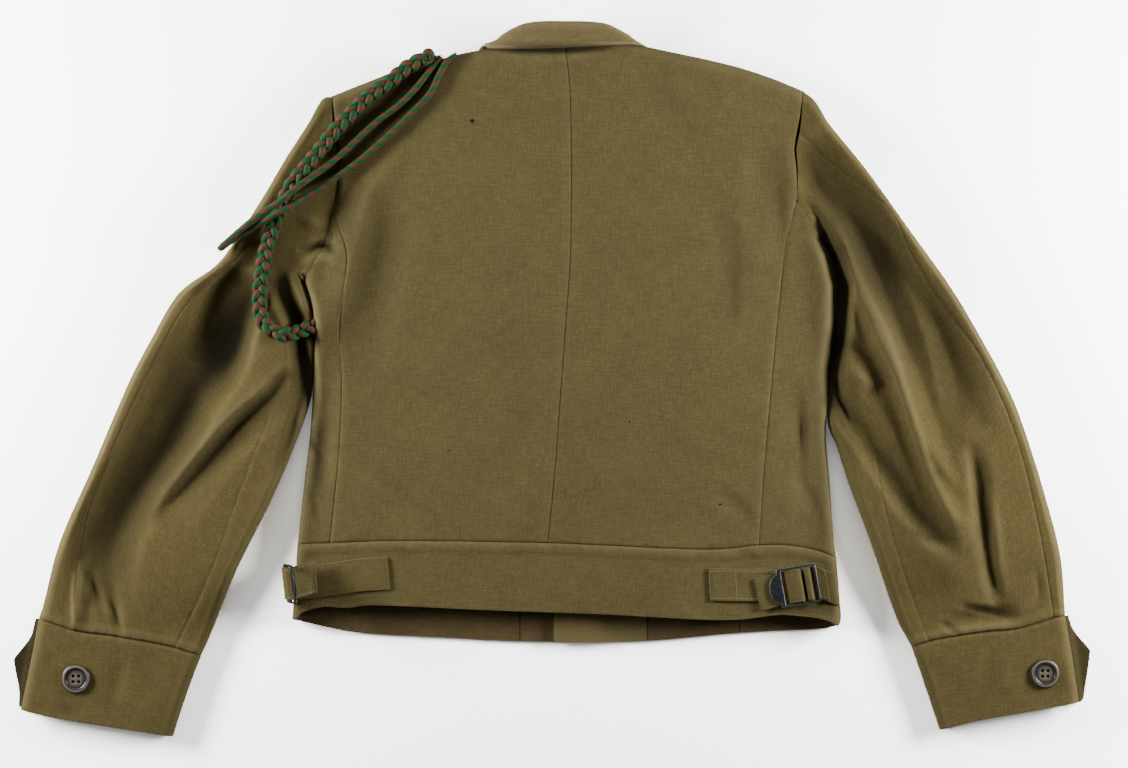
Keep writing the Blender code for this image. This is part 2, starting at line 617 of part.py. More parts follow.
def flat_piece(name, corners, columns, rows, thickness, material):
    """A flat four-cornered piece under the fronts, its outer face on the surface."""
    a, b, c, d = (np.array(corner, float) for corner in corners)
    u, v = np.meshgrid(np.linspace(0, 1, columns), np.linspace(0, 1, rows))
    u, v = u[..., None], v[..., None]
    plan = (1 - u) * (1 - v) * a + (1 - u) * v * b + u * v * c + u * (1 - v) * d
    points = np.dstack([plan, np.zeros(plan.shape[:2])])
    return cloth(name, points, thickness, material, np.full(columns, LOWER))


def build_underlays():
    for name, corners in UNDERLAYS.items():
        flat_piece(name, corners, 5, 5, WOOL, SERGE)


# ---------------------------------------------------------------- collar
def collar_section(seam, roll, edge):
    """From the seam up the stand, round the roll and down the fall to the free edge."""
    stand, fall = roll - seam, edge - roll
    along = stand / np.linalg.norm(stand) - fall / np.linalg.norm(fall)
    along /= np.linalg.norm(along)
    across = fall - (fall @ along) * along
    across /= np.linalg.norm(across)
    centre = roll - COLLAR_ROLL * along
    turn = [centre + COLLAR_ROLL * (math.cos(t) * along + math.sin(t) * across)
            for t in np.radians([-90, -45, 0, 45, 90])]
    middle = [seam + 0.5 * (turn[0] - seam)]
    falling = [turn[-1] + share * (edge - turn[-1]) for share in (0.33, 0.67)]
    return [seam, *middle, *turn, *falling, edge]


def build_collar():
    columns = [smooth([row[i] for row in COLLAR], 2) for i in range(3)]
    rows = [collar_section(*points) for points in zip(*columns)]
    return cloth("collar", rows, DOUBLED, SERGE, offset=0.0)


# ---------------------------------------------------------------- sleeves and cuffs
SLEEVE_ROWS = (UNDERARM_ROWS, 15)
CUFF_ROWS = 5
CUFF_STEPS = [0.5, 3.2]


def build_sleeves():
    for hand in ("left", "right"):
        armhole, underarm = LINE["armhole_" + hand], LINE["underarm_" + hand]
        outer, hind = LINE["sleeve_outer_" + hand], LINE["hind_seam_" + hand]
        inner = underarm.joined(LINE["sleeve_inner_" + hand])
        cuff = LINE["cuff_seam_" + hand]
        top_share, cuff_share = (armhole.nearest_share(hind.at(0)),
                                 cuff.nearest_share(hind.at(1)))
        corner = underarm.length / inner.length
        shares = {line: marks(line.length, [corner], SLEEVE_ROWS, SEAM_STEPS, SEAM_STEPS)
                  for line in (outer, hind, inner)}

        def inner_steps(i):
            return RING_STEPS if shares[inner][i] < corner + 1e-6 else FOLD_STEPS

        under = Patch(hind, inner, armhole.between(top_share, 1), cuff.between(cuff_share, 1))
        plan = under.strip(shares[hind], shares[inner], SEAM_STEPS, FOLD_STEPS, [9],
                           last_of=inner_steps)
        panel(f"sleeve_{hand}_under", plan, UPPER, WOOL, SERGE)

        upper = Patch(hind, outer, armhole.between(top_share, 0), cuff.between(cuff_share, 0))
        lower = Patch(outer, inner, armhole, cuff)
        over = upper.strip(shares[hind], shares[outer], SEAM_STEPS, [0.0, *FOLD_STEPS[2:]], [2])
        under = lower.strip(shares[outer], shares[inner], FOLD_STEPS[2:], FOLD_STEPS, [4],
                            last_of=inner_steps)
        plan = np.concatenate([over, under], axis=1)
        layers = np.array([UPPER] * over.shape[1] + [LOWER] * under.shape[1])
        cloth(f"sleeve_{hand}_top", raised(plan, layers), WOOL, SERGE, layers)


def build_cuffs():
    for hand in ("left", "right"):
        outer, inner = LINE["cuff_outer_" + hand], LINE["cuff_inner_" + hand]
        seam, hem, tab = (LINE[f"{name}_{hand}"] for name in ("cuff_seam", "cuff_hem", "tab"))
        shares = marks(inner.length, [], [CUFF_ROWS], CUFF_STEPS, [0.0, 3.0])
        over = Patch(outer, inner, seam, hem).strip(
            shares, shares, [0.5, 3.0], [0.0, *FOLD_STEPS[2:]], [9])
        start = Line(np.vstack([seam.points[::-1], tab.at(0)]))
        finish = Line(np.vstack([hem.points[::-1], tab.at(1)]))
        apex = tab.run[2] / tab.length
        tab_shares = marks(tab.length, [apex], [2, CUFF_ROWS - 2], CUFF_STEPS, [0.0, 3.0])
        under = Patch(inner, tab, start, finish).strip(
            shares, tab_shares, FOLD_STEPS[2:], [0.5, 3.0], [7])
        plan = np.concatenate([over, under], axis=1)
        layers = np.array([UPPER] * over.shape[1] + [LOWER] * under.shape[1])
        cloth("cuff_" + hand, raised(plan, layers), DOUBLED, SERGE, layers)


# ---------------------------------------------------------------- straps and buckles
def ribbon(name, rows):
    """A strap along rows of (x, y, z, turn of its width from +Y in degrees)."""
    path = smooth([row[:3] for row in rows], 2)
    turns = np.interp(np.linspace(0, len(rows) - 1, len(path)), range(len(rows)),
                      [math.radians(row[3]) for row in rows])
    across = np.stack([-np.sin(turns), np.cos(turns), np.zeros(len(path))], axis=-1)
    spread = np.array([-STRAP_WIDTH / 2, STRAP_WIDTH / 2])
    points = path[:, None, :] + spread[None, :, None] * across[:, None, :]
    return cloth(name, points, STRAP_THICKNESS, SERGE, offset=0.0)


def buckle_frame(hand):
    """Where a buckle stands, as a matrix in millimetres."""
    centre, turn, lean = BUCKLES[hand]
    return (Matrix.Translation(centre) @ Matrix.Rotation(math.radians(turn), 4, "Z")
            @ Matrix.Rotation(math.radians(lean), 4, "Y"))


def round_bar(hand, bar, turn, start, end, count=5):
    """Rows of a strap round a bar, from one angle to another, seen along the bar."""
    x, y, z = buckle_frame(hand) @ Vector((bar, 0, 0))
    return [(x + BAR_WRAP * math.cos(t), y, z + BAR_WRAP * math.sin(t), turn)
            for t in np.radians(np.linspace(start, end, count))]


def build_straps():
    bed, level = STRAP_BED + LYING, BUCKLES["right"][0][2]
    free = STRAP_BED + 2.95                        # the free end lies on its own strap
    ribbon("strap_right", [
        (146.5, -190.5, bed, 3), (176, -191, bed, 3), (196, -191, bed, 4),
        (213, -191.5, bed, 7), (221, -191, bed + 0.6, 9),
        *round_bar("right", STRAP_BAR, 10, -90, 90),
        (223, -192, level + 1.4, 10), (216, -193.5, free + 0.4, 11), (212, -194, free, 11),
        (204, -196.5, free, 12), (190.5, -200, free, 13)])
    ribbon("buckle_strap_right", [
        (264.4, -195, bed - 1.4, 8), (261.5, -194.3, bed - 0.3, 8), (256, -192.5, bed, 9),
        (246, -189.5, bed, 10), (241, -188.9, bed + 0.3, 10),
        *round_bar("right", ANCHOR_BAR, 10, 270, 0, 7),
        (241.7, -188.8, level - 1.6, 10), (245, -188.5, level - 2.15, 10),
        (250, -189.5, level - 2.15, 9), (256, -192, level - 2.15, 9)])
    ribbon("strap_left", [
        (-151.5, -180, bed, 5), (-180, -182, bed, 5), (-206, -186, bed, 6),
        (-226, -188.5, bed, 6), (-236, -189.3, bed + 0.2, 6),
        *round_bar("left", STRAP_BAR, 6, -90, -270),
        (-237, -188, 23.4, 6), (-226, -185, 24.6, 5), (-218, -182, 26.5, 4)])
    ribbon("buckle_strap_left", [
        (-241.6, -190, 7.3, -4), (-242.4, -190, 7.8, 0), (-243.2, -190, 9.6, 6),
        *round_bar("left", ANCHOR_BAR, 6, 10, 190, 5),
        (-249.6, -190, 9.4, 6), (-248.6, -190, 7.3, 6), (-246.5, -190, 6.9, 6),
        (-244.6, -190, 6.2, 6)])


def plate(name, loops, thickness, material, matrix):
    """A flat plate with its outline and holes as loops of (x, y), made thick by its middle."""
    bm = bmesh.new()
    edges = []
    for loop in loops:
        verts = [bm.verts.new((x * MM, y * MM, 0.0)) for x, y in loop]
        edges += [bm.edges.new(pair) for pair in zip(verts, verts[1:] + verts[:1])]
    bmesh.ops.triangle_fill(bm, edges=edges, use_beauty=True, use_dissolve=False)
    bmesh.ops.recalc_face_normals(bm, faces=bm.faces[:])
    obj = finish_object(name, bm, material)
    wall = obj.modifiers.new("wall", "SOLIDIFY")
    wall.thickness = thickness * MM
    wall.offset = 0.0
    placed = matrix.copy()
    placed.translation = matrix.translation * MM
    obj.matrix_world = placed
    return obj


def box_loop(x0, x1, half_width):
    return [(x0, -half_width), (x1, -half_width), (x1, half_width), (x0, half_width)]


def round_loop(x, y, radius, count):
    return [(x + radius * math.cos(t), y + radius * math.sin(t))
            for t in np.linspace(0, 2 * math.pi, count, endpoint=False)]


def build_buckles():
    reach, half = THUMB_TAB
    edge = -BUCKLE_LENGTH / 2
    tab = [(edge - reach * math.sin(t), half * math.cos(t)) for t in np.linspace(0, math.pi, 9)]
    corners = box_loop(edge, -edge, BUCKLE_WIDTH / 2)
    outline = [*corners, *tab]
    slots = [box_loop(x0, x1, SLOT_WIDTH / 2) for x0, x1 in SLOTS]
    for hand in BUCKLES:
        plate("buckle_" + hand, [outline, *slots], BUCKLE_THICKNESS, STEEL, buckle_frame(hand))


def build_buttons():
    step = BUTTON_HOLE_SPACING / 2
    rim = round_loop(0, 0, BUTTON_DIAMETER / 2, 24)
    holes = [round_loop(x, y, BUTTON_HOLE / 2, 8) for x in (-step, step) for y in (-step, step)]
    height = BUTTON_BED + 0.3 + BUTTON_THICKNESS / 2
    for hand, (x, y) in BUTTON_PLACES.items():
        plate("cuff_button_" + hand, [rim, *holes], BUTTON_THICKNESS, PLASTIC,
              Matrix.Translation((x, y, height)))


# ---------------------------------------------------------------- shoulder cord
def cord(name, route, diameter, steps, sides):
    """A round cord that lies on the cloth along its route."""
    points = smooth(route, steps)
    ways = np.gradient(points[:, :2], axis=0)
    ways /= np.linalg.norm(ways, axis=1)[:, None] + 1e-9
    radius = diameter / 2
    shifts = [share * radius for share in (-0.6, 0.0, 0.6)]
    under = [surface(points[:, 0] - s * ways[:, 1], points[:, 1] + s * ways[:, 0])
             for s in shifts]
    height = np.max(under, axis=0) + radius + CORD_GAP + points[:, 2]
    curve = bpy.data.curves.new(name, "CURVE")
    curve.dimensions = "3D"
    curve.bevel_depth = radius * MM
    curve.bevel_resolution = sides
    curve.use_fill_caps = True
    spline = curve.splines.new("POLY")
    spline.points.add(len(points) - 1)
    for spot, (x, y), z in zip(spline.points, points[:, :2], height):
        spot.co = (x * MM, y * MM, z * MM, 1.0)
    obj = bpy.data.objects.new(name, curve)
    curve.materials.append(CORD)
    PARTS.objects.link(obj)
    return obj


def build_cords():
    cord("cord_plait", PLAIT_ROUTE, PLAIT_DIAMETER, 2, 2)
    cord("cord_loop", LOOP_ROUTE, LOOP_DIAMETER, 2, 1)


def main():
    build_backs()
    build_side_backs()
    build_fronts()
    build_waistband()
    build_underlays()
    build_collar()
    build_sleeves()
    build_cuffs()
    build_straps()
    build_buckles()
    build_buttons()
    build_cords()


for old in list(bpy.data.objects):
    bpy.data.objects.remove(old, do_unlink=True)
PARTS = bpy.data.collections.new("uniform_jacket")
bpy.context.scene.collection.children.link(PARTS)


def finish(name, colour, roughness, metallic=0.0):
    material = bpy.data.materials.new(name)
    material.use_nodes = True
    shader = material.node_tree.nodes["Principled BSDF"]
    shader.inputs["Base Color"].default_value = (*colour, 1.0)
    shader.inputs["Roughness"].default_value = roughness
    shader.inputs["Metallic"].default_value = metallic
    material.diffuse_color = (*colour, 1.0)
    return material


SERGE = finish("olive_serge", (0.14, 0.11, 0.04), 0.95)
STEEL = finish("blued_steel", (0.03, 0.035, 0.045), 0.4, 0.9)
PLASTIC = finish("button_plastic", (0.10, 0.085, 0.06), 0.45)
CORD = finish("cord_wool", (0.05, 0.16, 0.08), 0.9)

main()
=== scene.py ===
# %% [markdown]
# # A short wool uniform jacket, laid face down
#
# The real thing is a waist-length "ike" jacket of olive serge. It lies on its front with the
# sleeves swung out, so we look at its back. A cloth garment has no rigid parts worth boxing in:
# its look is in the lie of each cut piece, in the seams between them and in the light that
# rakes over the folds. So each cut piece becomes one fine sheet that follows a height map, and
# the hard things on it (buckles, buttons, cord) are small models of their own.

# %% Load the imported jacket
import math

import bmesh
import bpy
import numpy as np
from mathutils import Matrix, Vector


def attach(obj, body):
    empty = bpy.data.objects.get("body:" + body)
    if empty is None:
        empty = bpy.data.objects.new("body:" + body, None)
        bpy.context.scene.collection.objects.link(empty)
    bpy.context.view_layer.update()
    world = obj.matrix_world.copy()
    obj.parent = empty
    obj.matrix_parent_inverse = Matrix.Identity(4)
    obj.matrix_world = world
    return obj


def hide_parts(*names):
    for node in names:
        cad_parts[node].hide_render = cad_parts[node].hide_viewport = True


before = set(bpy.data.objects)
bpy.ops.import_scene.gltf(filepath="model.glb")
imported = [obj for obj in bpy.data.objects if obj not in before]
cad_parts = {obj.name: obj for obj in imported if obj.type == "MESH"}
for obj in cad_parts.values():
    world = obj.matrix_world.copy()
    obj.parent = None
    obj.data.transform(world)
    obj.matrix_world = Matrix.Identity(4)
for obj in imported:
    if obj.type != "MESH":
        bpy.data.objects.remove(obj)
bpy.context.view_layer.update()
MM = 0.001

# %% [markdown]
# ## Camera
#
# The jacket was photographed from straight above. A camera 2.5 m up with a long lens gives the
# small amount of perspective that the standing collar and the raised buckle need. The lens
# follows from the width that has to fill the picture at the height of the cloth.

# %% Camera straight above
CAMERA_HEIGHT = 2.5
PICTURE_WIDTH = 1.049        # metres across the frame, at the height of the cloth
CLOTH_LEVEL = 0.012
SENSOR = 36.0
PICTURE_MIDDLE = (0.0112, -0.0042)
camera_data = bpy.data.cameras.new("camera_above")
camera_data.sensor_width = SENSOR
camera_data.lens = SENSOR * (CAMERA_HEIGHT - CLOTH_LEVEL) / PICTURE_WIDTH
camera = bpy.data.objects.new("camera_above", camera_data)
camera.location = (*PICTURE_MIDDLE, CAMERA_HEIGHT)
bpy.context.scene.collection.objects.link(camera)
bpy.context.scene.camera = camera
print("lens", round(camera_data.lens, 1), "mm")

# %% [markdown]
# ## Light and floor
#
# The outer halves of both sleeves are bright, every slope that faces the middle is dark, and
# the shadows on the paper lie inside the sleeves. So the jacket stood between two softboxes,
# left and right, low enough to rake across the folds. A weaker light beyond the collar shades
# the neck and the inside of the hem, and one below the hem keeps the collar bright.

# %% Studio lights
def soft_light(name, place, target, size, power):
    data = bpy.data.lights.new(name, "AREA")
    data.shape = "RECTANGLE"
    data.size, data.size_y = size
    data.energy = power
    light = bpy.data.objects.new(name, data)
    light.location = place
    direction = Vector(target) - Vector(place)
    light.rotation_euler = direction.to_track_quat("-Z", "Y").to_euler()
    bpy.context.scene.collection.objects.link(light)


soft_light("softbox_left", (-1.25, 0.25, 0.42), (0, 0.1, 0.6), (0.6, 0.3), 30)
soft_light("softbox_right", (1.25, 0.25, 0.42), (0, 0.1, 0.6), (0.6, 0.3), 30)
soft_light("beyond_collar", (0.0, 2.0, 1.1), (0, 0, 0), (1.8, 0.6), 9)
soft_light("below_hem", (0.0, -2.0, 1.1), (0, 0, 0), (1.8, 0.6), 3)
world = bpy.data.worlds.new("pale_room")
world.use_nodes = True
room_light = world.node_tree.nodes["Background"].inputs
room_light["Color"].default_value = (1.0, 1.0, 1.0, 1.0)
room_light["Strength"].default_value = 0.035
bpy.context.scene.world = world


# %% Pale floor
def plain_material(name, colour, roughness):
    material = bpy.data.materials.new(name)
    material.use_nodes = True
    shader = material.node_tree.nodes["Principled BSDF"]
    shader.inputs["Base Color"].default_value = (*colour, 1.0)
    shader.inputs["Roughness"].default_value = roughness
    return material


# The sheet of paper is burnt out to white in the picture, while it lights the cloth from below
# only as strongly as paper can. Light Path tells the camera's rays from the bounced ones.
HALF_FLOOR = 4.0         # metres
FLOOR_LEVEL = -0.0003    # just under the cloth
white_paper = plain_material("white_paper", (0.9, 0.9, 0.9), 0.9)
paper_tree = white_paper.node_tree
paper_seen = paper_tree.nodes.new("ShaderNodeBsdfDiffuse")
paper_seen.inputs["Color"].default_value = (5.1, 5.13, 5.18, 1.0)
paper_rays = paper_tree.nodes.new("ShaderNodeLightPath")
paper_mix = paper_tree.nodes.new("ShaderNodeMixShader")
paper_tree.links.new(paper_rays.outputs["Is Camera Ray"], paper_mix.inputs["Fac"])
paper_tree.links.new(paper_tree.nodes["Principled BSDF"].outputs[0], paper_mix.inputs[1])
paper_tree.links.new(paper_seen.outputs[0], paper_mix.inputs[2])
paper_tree.links.new(paper_mix.outputs[0], paper_tree.nodes["Material Output"].inputs["Surface"])
floor_bm = bmesh.new()
bmesh.ops.create_grid(floor_bm, x_segments=1, y_segments=1, size=HALF_FLOOR)
bmesh.ops.translate(floor_bm, verts=floor_bm.verts[:], vec=(0, 0, FLOOR_LEVEL))
floor_mesh = bpy.data.meshes.new("floor")
floor_bm.to_mesh(floor_mesh)
floor_bm.free()
floor = bpy.data.objects.new("floor", floor_mesh)
floor_mesh.materials.append(white_paper)
bpy.context.scene.collection.objects.link(floor)
print("floor laid")

# %% [markdown]
# ## Outlines and seams
#
# Every line of the pattern was measured in the picture, in millimetres from a point between
# the shoulder blades. A seam is one line that two cut pieces share, so the pieces meet on it.
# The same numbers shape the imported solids, which keeps the cloth inside them.

# %% Lines of the pattern, in millimetres
LINES = {
    "centre_back": [(-4, -152), (4, -66), (12, 46), (17, 120), (17, 260), (12, 313)],
    "band_seam_back": [
        (-237, -153), (-206, -152), (-141, -150), (-4, -152), (45, -154), (138, -158), (168, -157),
        (186, -154.5), (205, -153.5), (228, -155), (250, -160), (265, -166)],
    "band_hem_back": [
        (-240.5, -224), (-234, -217.5), (-226, -214), (-210, -210.8), (-191, -212.3),
        (-171, -209.5), (-67, -214), (45, -218), (138, -223), (175, -223), (212, -218.5),
        (232, -220), (249, -222), (261.5, -225.8), (266.5, -229.5)],
    "band_seam_front": [
        (-237, -153), (-197, -167), (-123, -177), (-30, -183), (82, -183), (193, -171),
        (265, -166)],
    "band_hem_front": [
        (-240.5, -224), (-197, -234), (-167, -237.8), (-95, -241.6), (-30, -245), (82, -245),
        (170, -237.3), (212, -234.6), (253, -232.6), (266.5, -229.5)],
    # right side
    "armhole_right": [(233, 269), (230, 244), (225, 215), (227, 195), (227, 166)],
    "underarm_right": [(227, 166), (235, 154), (243, 143), (251, 130)],
    "side_seam_right": [(192, -154), (196, -93), (202, -23), (210, 63), (218, 126), (227, 166)],
    "body_edge_right": [
        (265, -166), (263, -154), (258, -88), (255, -49), (259, -1), (263, 41), (266, 83),
        (262, 109), (251, 130)],
    "shoulder_right": [(73, 313), (105, 306), (148, 297), (176, 290), (206, 280), (233, 269)],
    "neck_right": [(12, 313), (45, 315), (73, 313)],
    "sleeve_outer_right": [
        (233, 269), (245, 259), (257, 239), (291, 197), (334, 137), (372, 84), (405, 28),
        (424, -8), (436, -36), (458, -105), (473, -164), (478, -219)],
    "sleeve_inner_right": [
        (251, 130), (262, 109), (266, 83), (263, 41), (259.1, -1), (256.6, -34), (259, -48),
        (264.5, -60), (277, -99), (295, -147), (321, -222), (335, -249)],
    "hind_seam_right": [
        (230, 229), (266, 197), (312, 157), (340, 105), (368, 62), (396, 22), (428, -48),
        (447, -118), (458, -175), (466, -222)],
    "cuff_seam_right": [
        (478, -219), (466, -222), (432, -232), (401, -235), (352, -243), (335, -249)],
    "cuff_outer_right": [(478, -219), (485, -260), (491, -300)],
    "cuff_inner_right": [(335, -249), (349, -290), (361, -326)],
    "cuff_hem_right": [(491, -300), (431, -311), (397, -317), (361, -326)],
    "tab_right": [(480, -221), (484, -231), (503, -253), (500, -275), (496, -297), (492, -300)],
    # left side
    "armhole_left": [(-204, 263), (-202, 246), (-198, 213), (-199, 183), (-203, 154)],
    "underarm_left": [(-203, 154), (-210, 130), (-221, 108), (-231, 91)],
    "side_seam_left": [
        (-206, -152), (-200, -95), (-197, -60), (-195, 0), (-198, 46), (-193, 85), (-190, 118),
        (-203, 154)],
    "body_edge_left": [
        (-237, -153), (-230, -91), (-225, -48), (-223, -12), (-222, 12), (-221, 42), (-224, 68),
        (-231, 91)],
    "shoulder_left": [(-48, 309), (-85, 303), (-131, 290), (-154, 282), (-181, 273), (-204, 263)],
    "neck_left": [(12, 313), (-20, 312), (-48, 309)],
    "sleeve_outer_left": [
        (-204, 263), (-213, 262), (-226, 240), (-247, 207), (-268, 171), (-292, 133), (-311, 107),
        (-347, 80), (-371, 40), (-392, 0), (-426, -79), (-458, -152), (-475, -214), (-478, -222)],
    "sleeve_inner_left": [
        (-231, 91), (-224, 68), (-221.1, 42), (-222.1, 12), (-224.6, -16), (-236, -52),
        (-262, -114), (-293, -176), (-320, -242), (-327, -257)],
    "hind_seam_left": [
        (-203, 236), (-232, 196), (-262, 150), (-292, 112), (-335, 72), (-372, 8), (-405, -62),
        (-432, -130), (-442, -200), (-441, -234)],
    "cuff_seam_left": [(-478, -222), (-441, -234), (-405, -239), (-352, -249), (-327, -257)],
    "cuff_outer_left": [(-478, -222), (-486, -264), (-495, -307)],
    "cuff_inner_left": [(-327, -257), (-340, -292), (-353, -332)],
    "cuff_hem_left": [(-495, -307), (-466, -314), (-418, -322), (-353, -332)],
    "tab_left": [
        (-480, -224), (-484, -238), (-503, -261), (-500, -278), (-496, -294), (-495, -306)],
    # front edges, under the jacket: overlap, lapel roll and neck
    "front_edge_left": [(34, -183), (25, 110), (-34, 236), (-53, 257), (-48, 309)],
    "front_edge_right": [(1, -183), (5, 110), (64, 240), (83, 261), (73, 313)],
    # inner seams of the sleeves, which cross the under sleeve
    "inner_seam_left": [
        (-262, -34), (-276, -68), (-293, -114), (-312, -167), (-328, -204), (-350, -249)],
    "inner_seam_right": [
        (279, -36), (290, -44), (299, -62), (308, -116), (327, -180), (350, -243)],
}
CORNERED = {"tab_left", "tab_right"}     # lines that turn sharply at their points
# The waistband's lower corners are rounded: points between its seam and its hem at both ends
BAND_CORNERS = {"left": (0, [(-241.6, -219), (-241.8, -223)]),
                "right": (1, [(269.3, -220), (268.6, -227)])}
print(len(LINES), "lines")

# %% [markdown]
# ## Curves through the points
#
# A few measured points make a smooth seam when the tangent at each point follows its
# neighbours. `Line` then answers the one question that the pattern asks again and again:
# where is the place at this share of the length?

# %% Smooth lines
BETWEEN_POINTS = 24


class Line:
    """A curve in the plane, read by its share of the length or by distance."""

    def __init__(self, points):
        self.points = np.asarray(points, float)
        steps = np.linalg.norm(np.diff(self.points, axis=0), axis=1)
        self.run = np.concatenate([[0.0], np.cumsum(steps)])
        self.length = self.run[-1]

    def at(self, share):
        return self.at_distance(np.asarray(share) * self.length)

    def at_distance(self, distance):
        axes = range(self.points.shape[1])
        return np.stack([np.interp(distance, self.run, self.points[:, a]) for a in axes], axis=-1)

    def reversed(self):
        return Line(self.points[::-1])

    def joined(self, other):
        return Line(np.vstack([self.points, other.points[1:]]))

    def nearest_share(self, point):
        gaps = np.linalg.norm(self.points - np.asarray(point, float), axis=1)
        return self.run[int(np.argmin(gaps))] / self.length

    def between(self, start, end):
        """The stretch between two shares of the length."""
        return Line(self.at(np.linspace(start, end, BETWEEN_POINTS)))

    def stretch(self, first, second):
        """The stretch between the places nearest to two points."""
        return self.between(self.nearest_share(first), self.nearest_share(second))


def smooth(points, steps=10):
    """A smooth curve through the points, with tangents from their neighbours."""
    points = np.asarray(points, float)
    knots = np.concatenate([[0.0], np.cumsum(np.linalg.norm(np.diff(points, axis=0), axis=1))])
    tangents = np.empty_like(points)
    tangents[1:-1] = (points[2:] - points[:-2]) / (knots[2:] - knots[:-2])[:, None]
    tangents[0] = (points[1] - points[0]) / (knots[1] - knots[0])
    tangents[-1] = (points[-1] - points[-2]) / (knots[-1] - knots[-2])
    curve = [points[0]]
    for i in range(len(points) - 1):
        span = knots[i + 1] - knots[i]
        for t in np.linspace(0, 1, steps + 1)[1:]:
            a = (1 + 2 * t) * (1 - t) ** 2 * points[i] + t * (1 - t) ** 2 * span * tangents[i]
            b = t * t * (3 - 2 * t) * points[i + 1] + t * t * (t - 1) * span * tangents[i + 1]
            curve.append(a + b)
    return np.array(curve)


LINE = {name: Line(points if name in CORNERED else smooth(points))
        for name, points in LINES.items()}
for hand, (share, corner) in BAND_CORNERS.items():
    LINE["band_edge_" + hand] = Line([LINE["band_seam_back"].at(share), *corner,
                                      LINE["band_hem_back"].at(share)])
print("shoulder to cuff, right:", round(LINE["sleeve_outer_right"].length), "mm")

# %% [markdown]
# ## Folds and creases
#
# Serge is a stiff, springy wool. It lies in a few large soft folds where the sleeve was swung
# away from its cut, and it creases sharply only where it was pressed or crushed: at the elbow,
# under the arm and above the cuff. Cloth simulation could drop the jacket on a table, but it
# would find folds of its own. These folds belong to this jacket, so each one is drawn: a run of
# points with a height, and how far the cloth falls away on either side of it.

# %% Large folds
FOLDS = [
    # name, width on the left, width on the right, points
    ("body edge right", 34, 34, [(258, -210, -4), (256, -60, -4), (262, 20, -3)]),
    ("body edge right, high", 26, 30, [(259, -5, 0), (264, 60, 4), (256, 118, 3), (232, 160, 0)]),
    ("body edge left", 30, 30, [(-238, -210, -4), (-226, -60, -4), (-224, 0, -2)]),
    ("body edge left, high", 30, 26, [(-224, 10, 0), (-218, 52, 5), (-224, 90, 3), (-206, 140, 0)]),
    ("back, left ridge", 26, 20, [
        (-140, 204, 0), (-176, 166, 4), (-184, 130, 5), (-196, 80, 4), (-203, 40, 0)]),
    ("back, left valley", 30, 45, [
        (-140, 178, 0), (-158, 120, -4), (-172, 50, -4), (-182, -30, 0)]),
    ("back, armhole valley right", 22, 28, [(196, 240, 0), (206, 190, -3), (204, 120, 0)]),
    ("back, right fold", 12, 34, [(163, 190, 0), (168, 100, -1.6), (168, 62, -2), (160, 30, 0)]),
    ("side panel right", 12, 20, [(228, 5, 0), (230, -50, -2.5), (222, -100, 0)]),
    ("side panel left", 14, 14, [
        (-208, 40, 0), (-210, -20, -2.5), (-214, -80, -3.5), (-222, -130, 0)]),
    ("right sleeve, outer band", 26, 26, [
        (236, 256, 0), (268, 220, 5), (322, 146, 4.5), (376, 66, 6), (414, -20, 2),
        (440, -80, 0)]),
    ("right sleeve, ridge", 22, 14, [
        (232, 176, 0), (262, 140, 7), (284, 92, 9), (306, 34, 9), (326, -10, 8), (346, -68, 7),
        (372, -132, 5), (382, -160, 0)]),
    ("right sleeve, under crevice", 12, 16, [
        (244, 150, 0), (262, 118, -10), (270, 88, -13), (268, 48, -12), (263, 10, -9),
        (260, -30, 0)]),
    ("right sleeve, pocket", 14, 12, [
        (274, 40, 0), (294, 14, -2.5), (306, -4, -2.5), (292, -22, 0)]),
    ("right sleeve, long crease", 16, 12, [
        (392, -62, 0), (396, -105, -2), (400, -150, -2), (410, -190, -2.5), (420, -214, 0)]),
    ("right sleeve, short crease", 9, 14, [
        (346, -60, 0), (356, -84, -2), (374, -108, -2), (384, -130, 0)]),
    ("right sleeve, lower fall", 45, 45, [
        (302, -90, 0), (326, -150, -2.8), (344, -200, -3.2), (352, -238, 0)]),
    ("right sleeve, cuff gather", 14, 10, [
        (362, -228, 0), (386, -222, -4), (414, -220, -5), (436, -218, 0)]),
    ("left sleeve, outer strip", 20, 24, [
        (-240, 222, 0), (-272, 158, 4), (-330, 88, 8), (-372, 20, 7), (-410, -62, 7),
        (-440, -128, 5), (-462, -190, 0)]),
    ("left sleeve, long ridge", 10, 24, [
        (-250, 2, 0), (-270, -14, 2.5), (-298, -36, 3.5), (-328, -70, 4), (-358, -103, 3),
        (-376, -128, 0)]),
    ("left sleeve, long crease", 12, 10, [
        (-244, -12, 0), (-280, -50, -1.2), (-314, -80, -1.2), (-348, -112, -0.8),
        (-374, -136, 0)]),
    ("left sleeve, under crevice", 16, 14, [
        (-224, -40, 0), (-228, -10, -9), (-232, 26, -11), (-236, 56, -12), (-250, 84, -6),
        (-262, 100, 0)]),
    ("left sleeve, vent ridge", 9, 9, [
        (-430, -160, 0), (-436, -190, 4), (-440, -222, 3), (-441, -234, 0)]),
    ("left cuff gather", 9, 9, [
        (-412, -176, 0), (-408, -206, -2.4), (-404, -230, -2), (-402, -244, 0)]),
]
print(len(FOLDS), "folds")

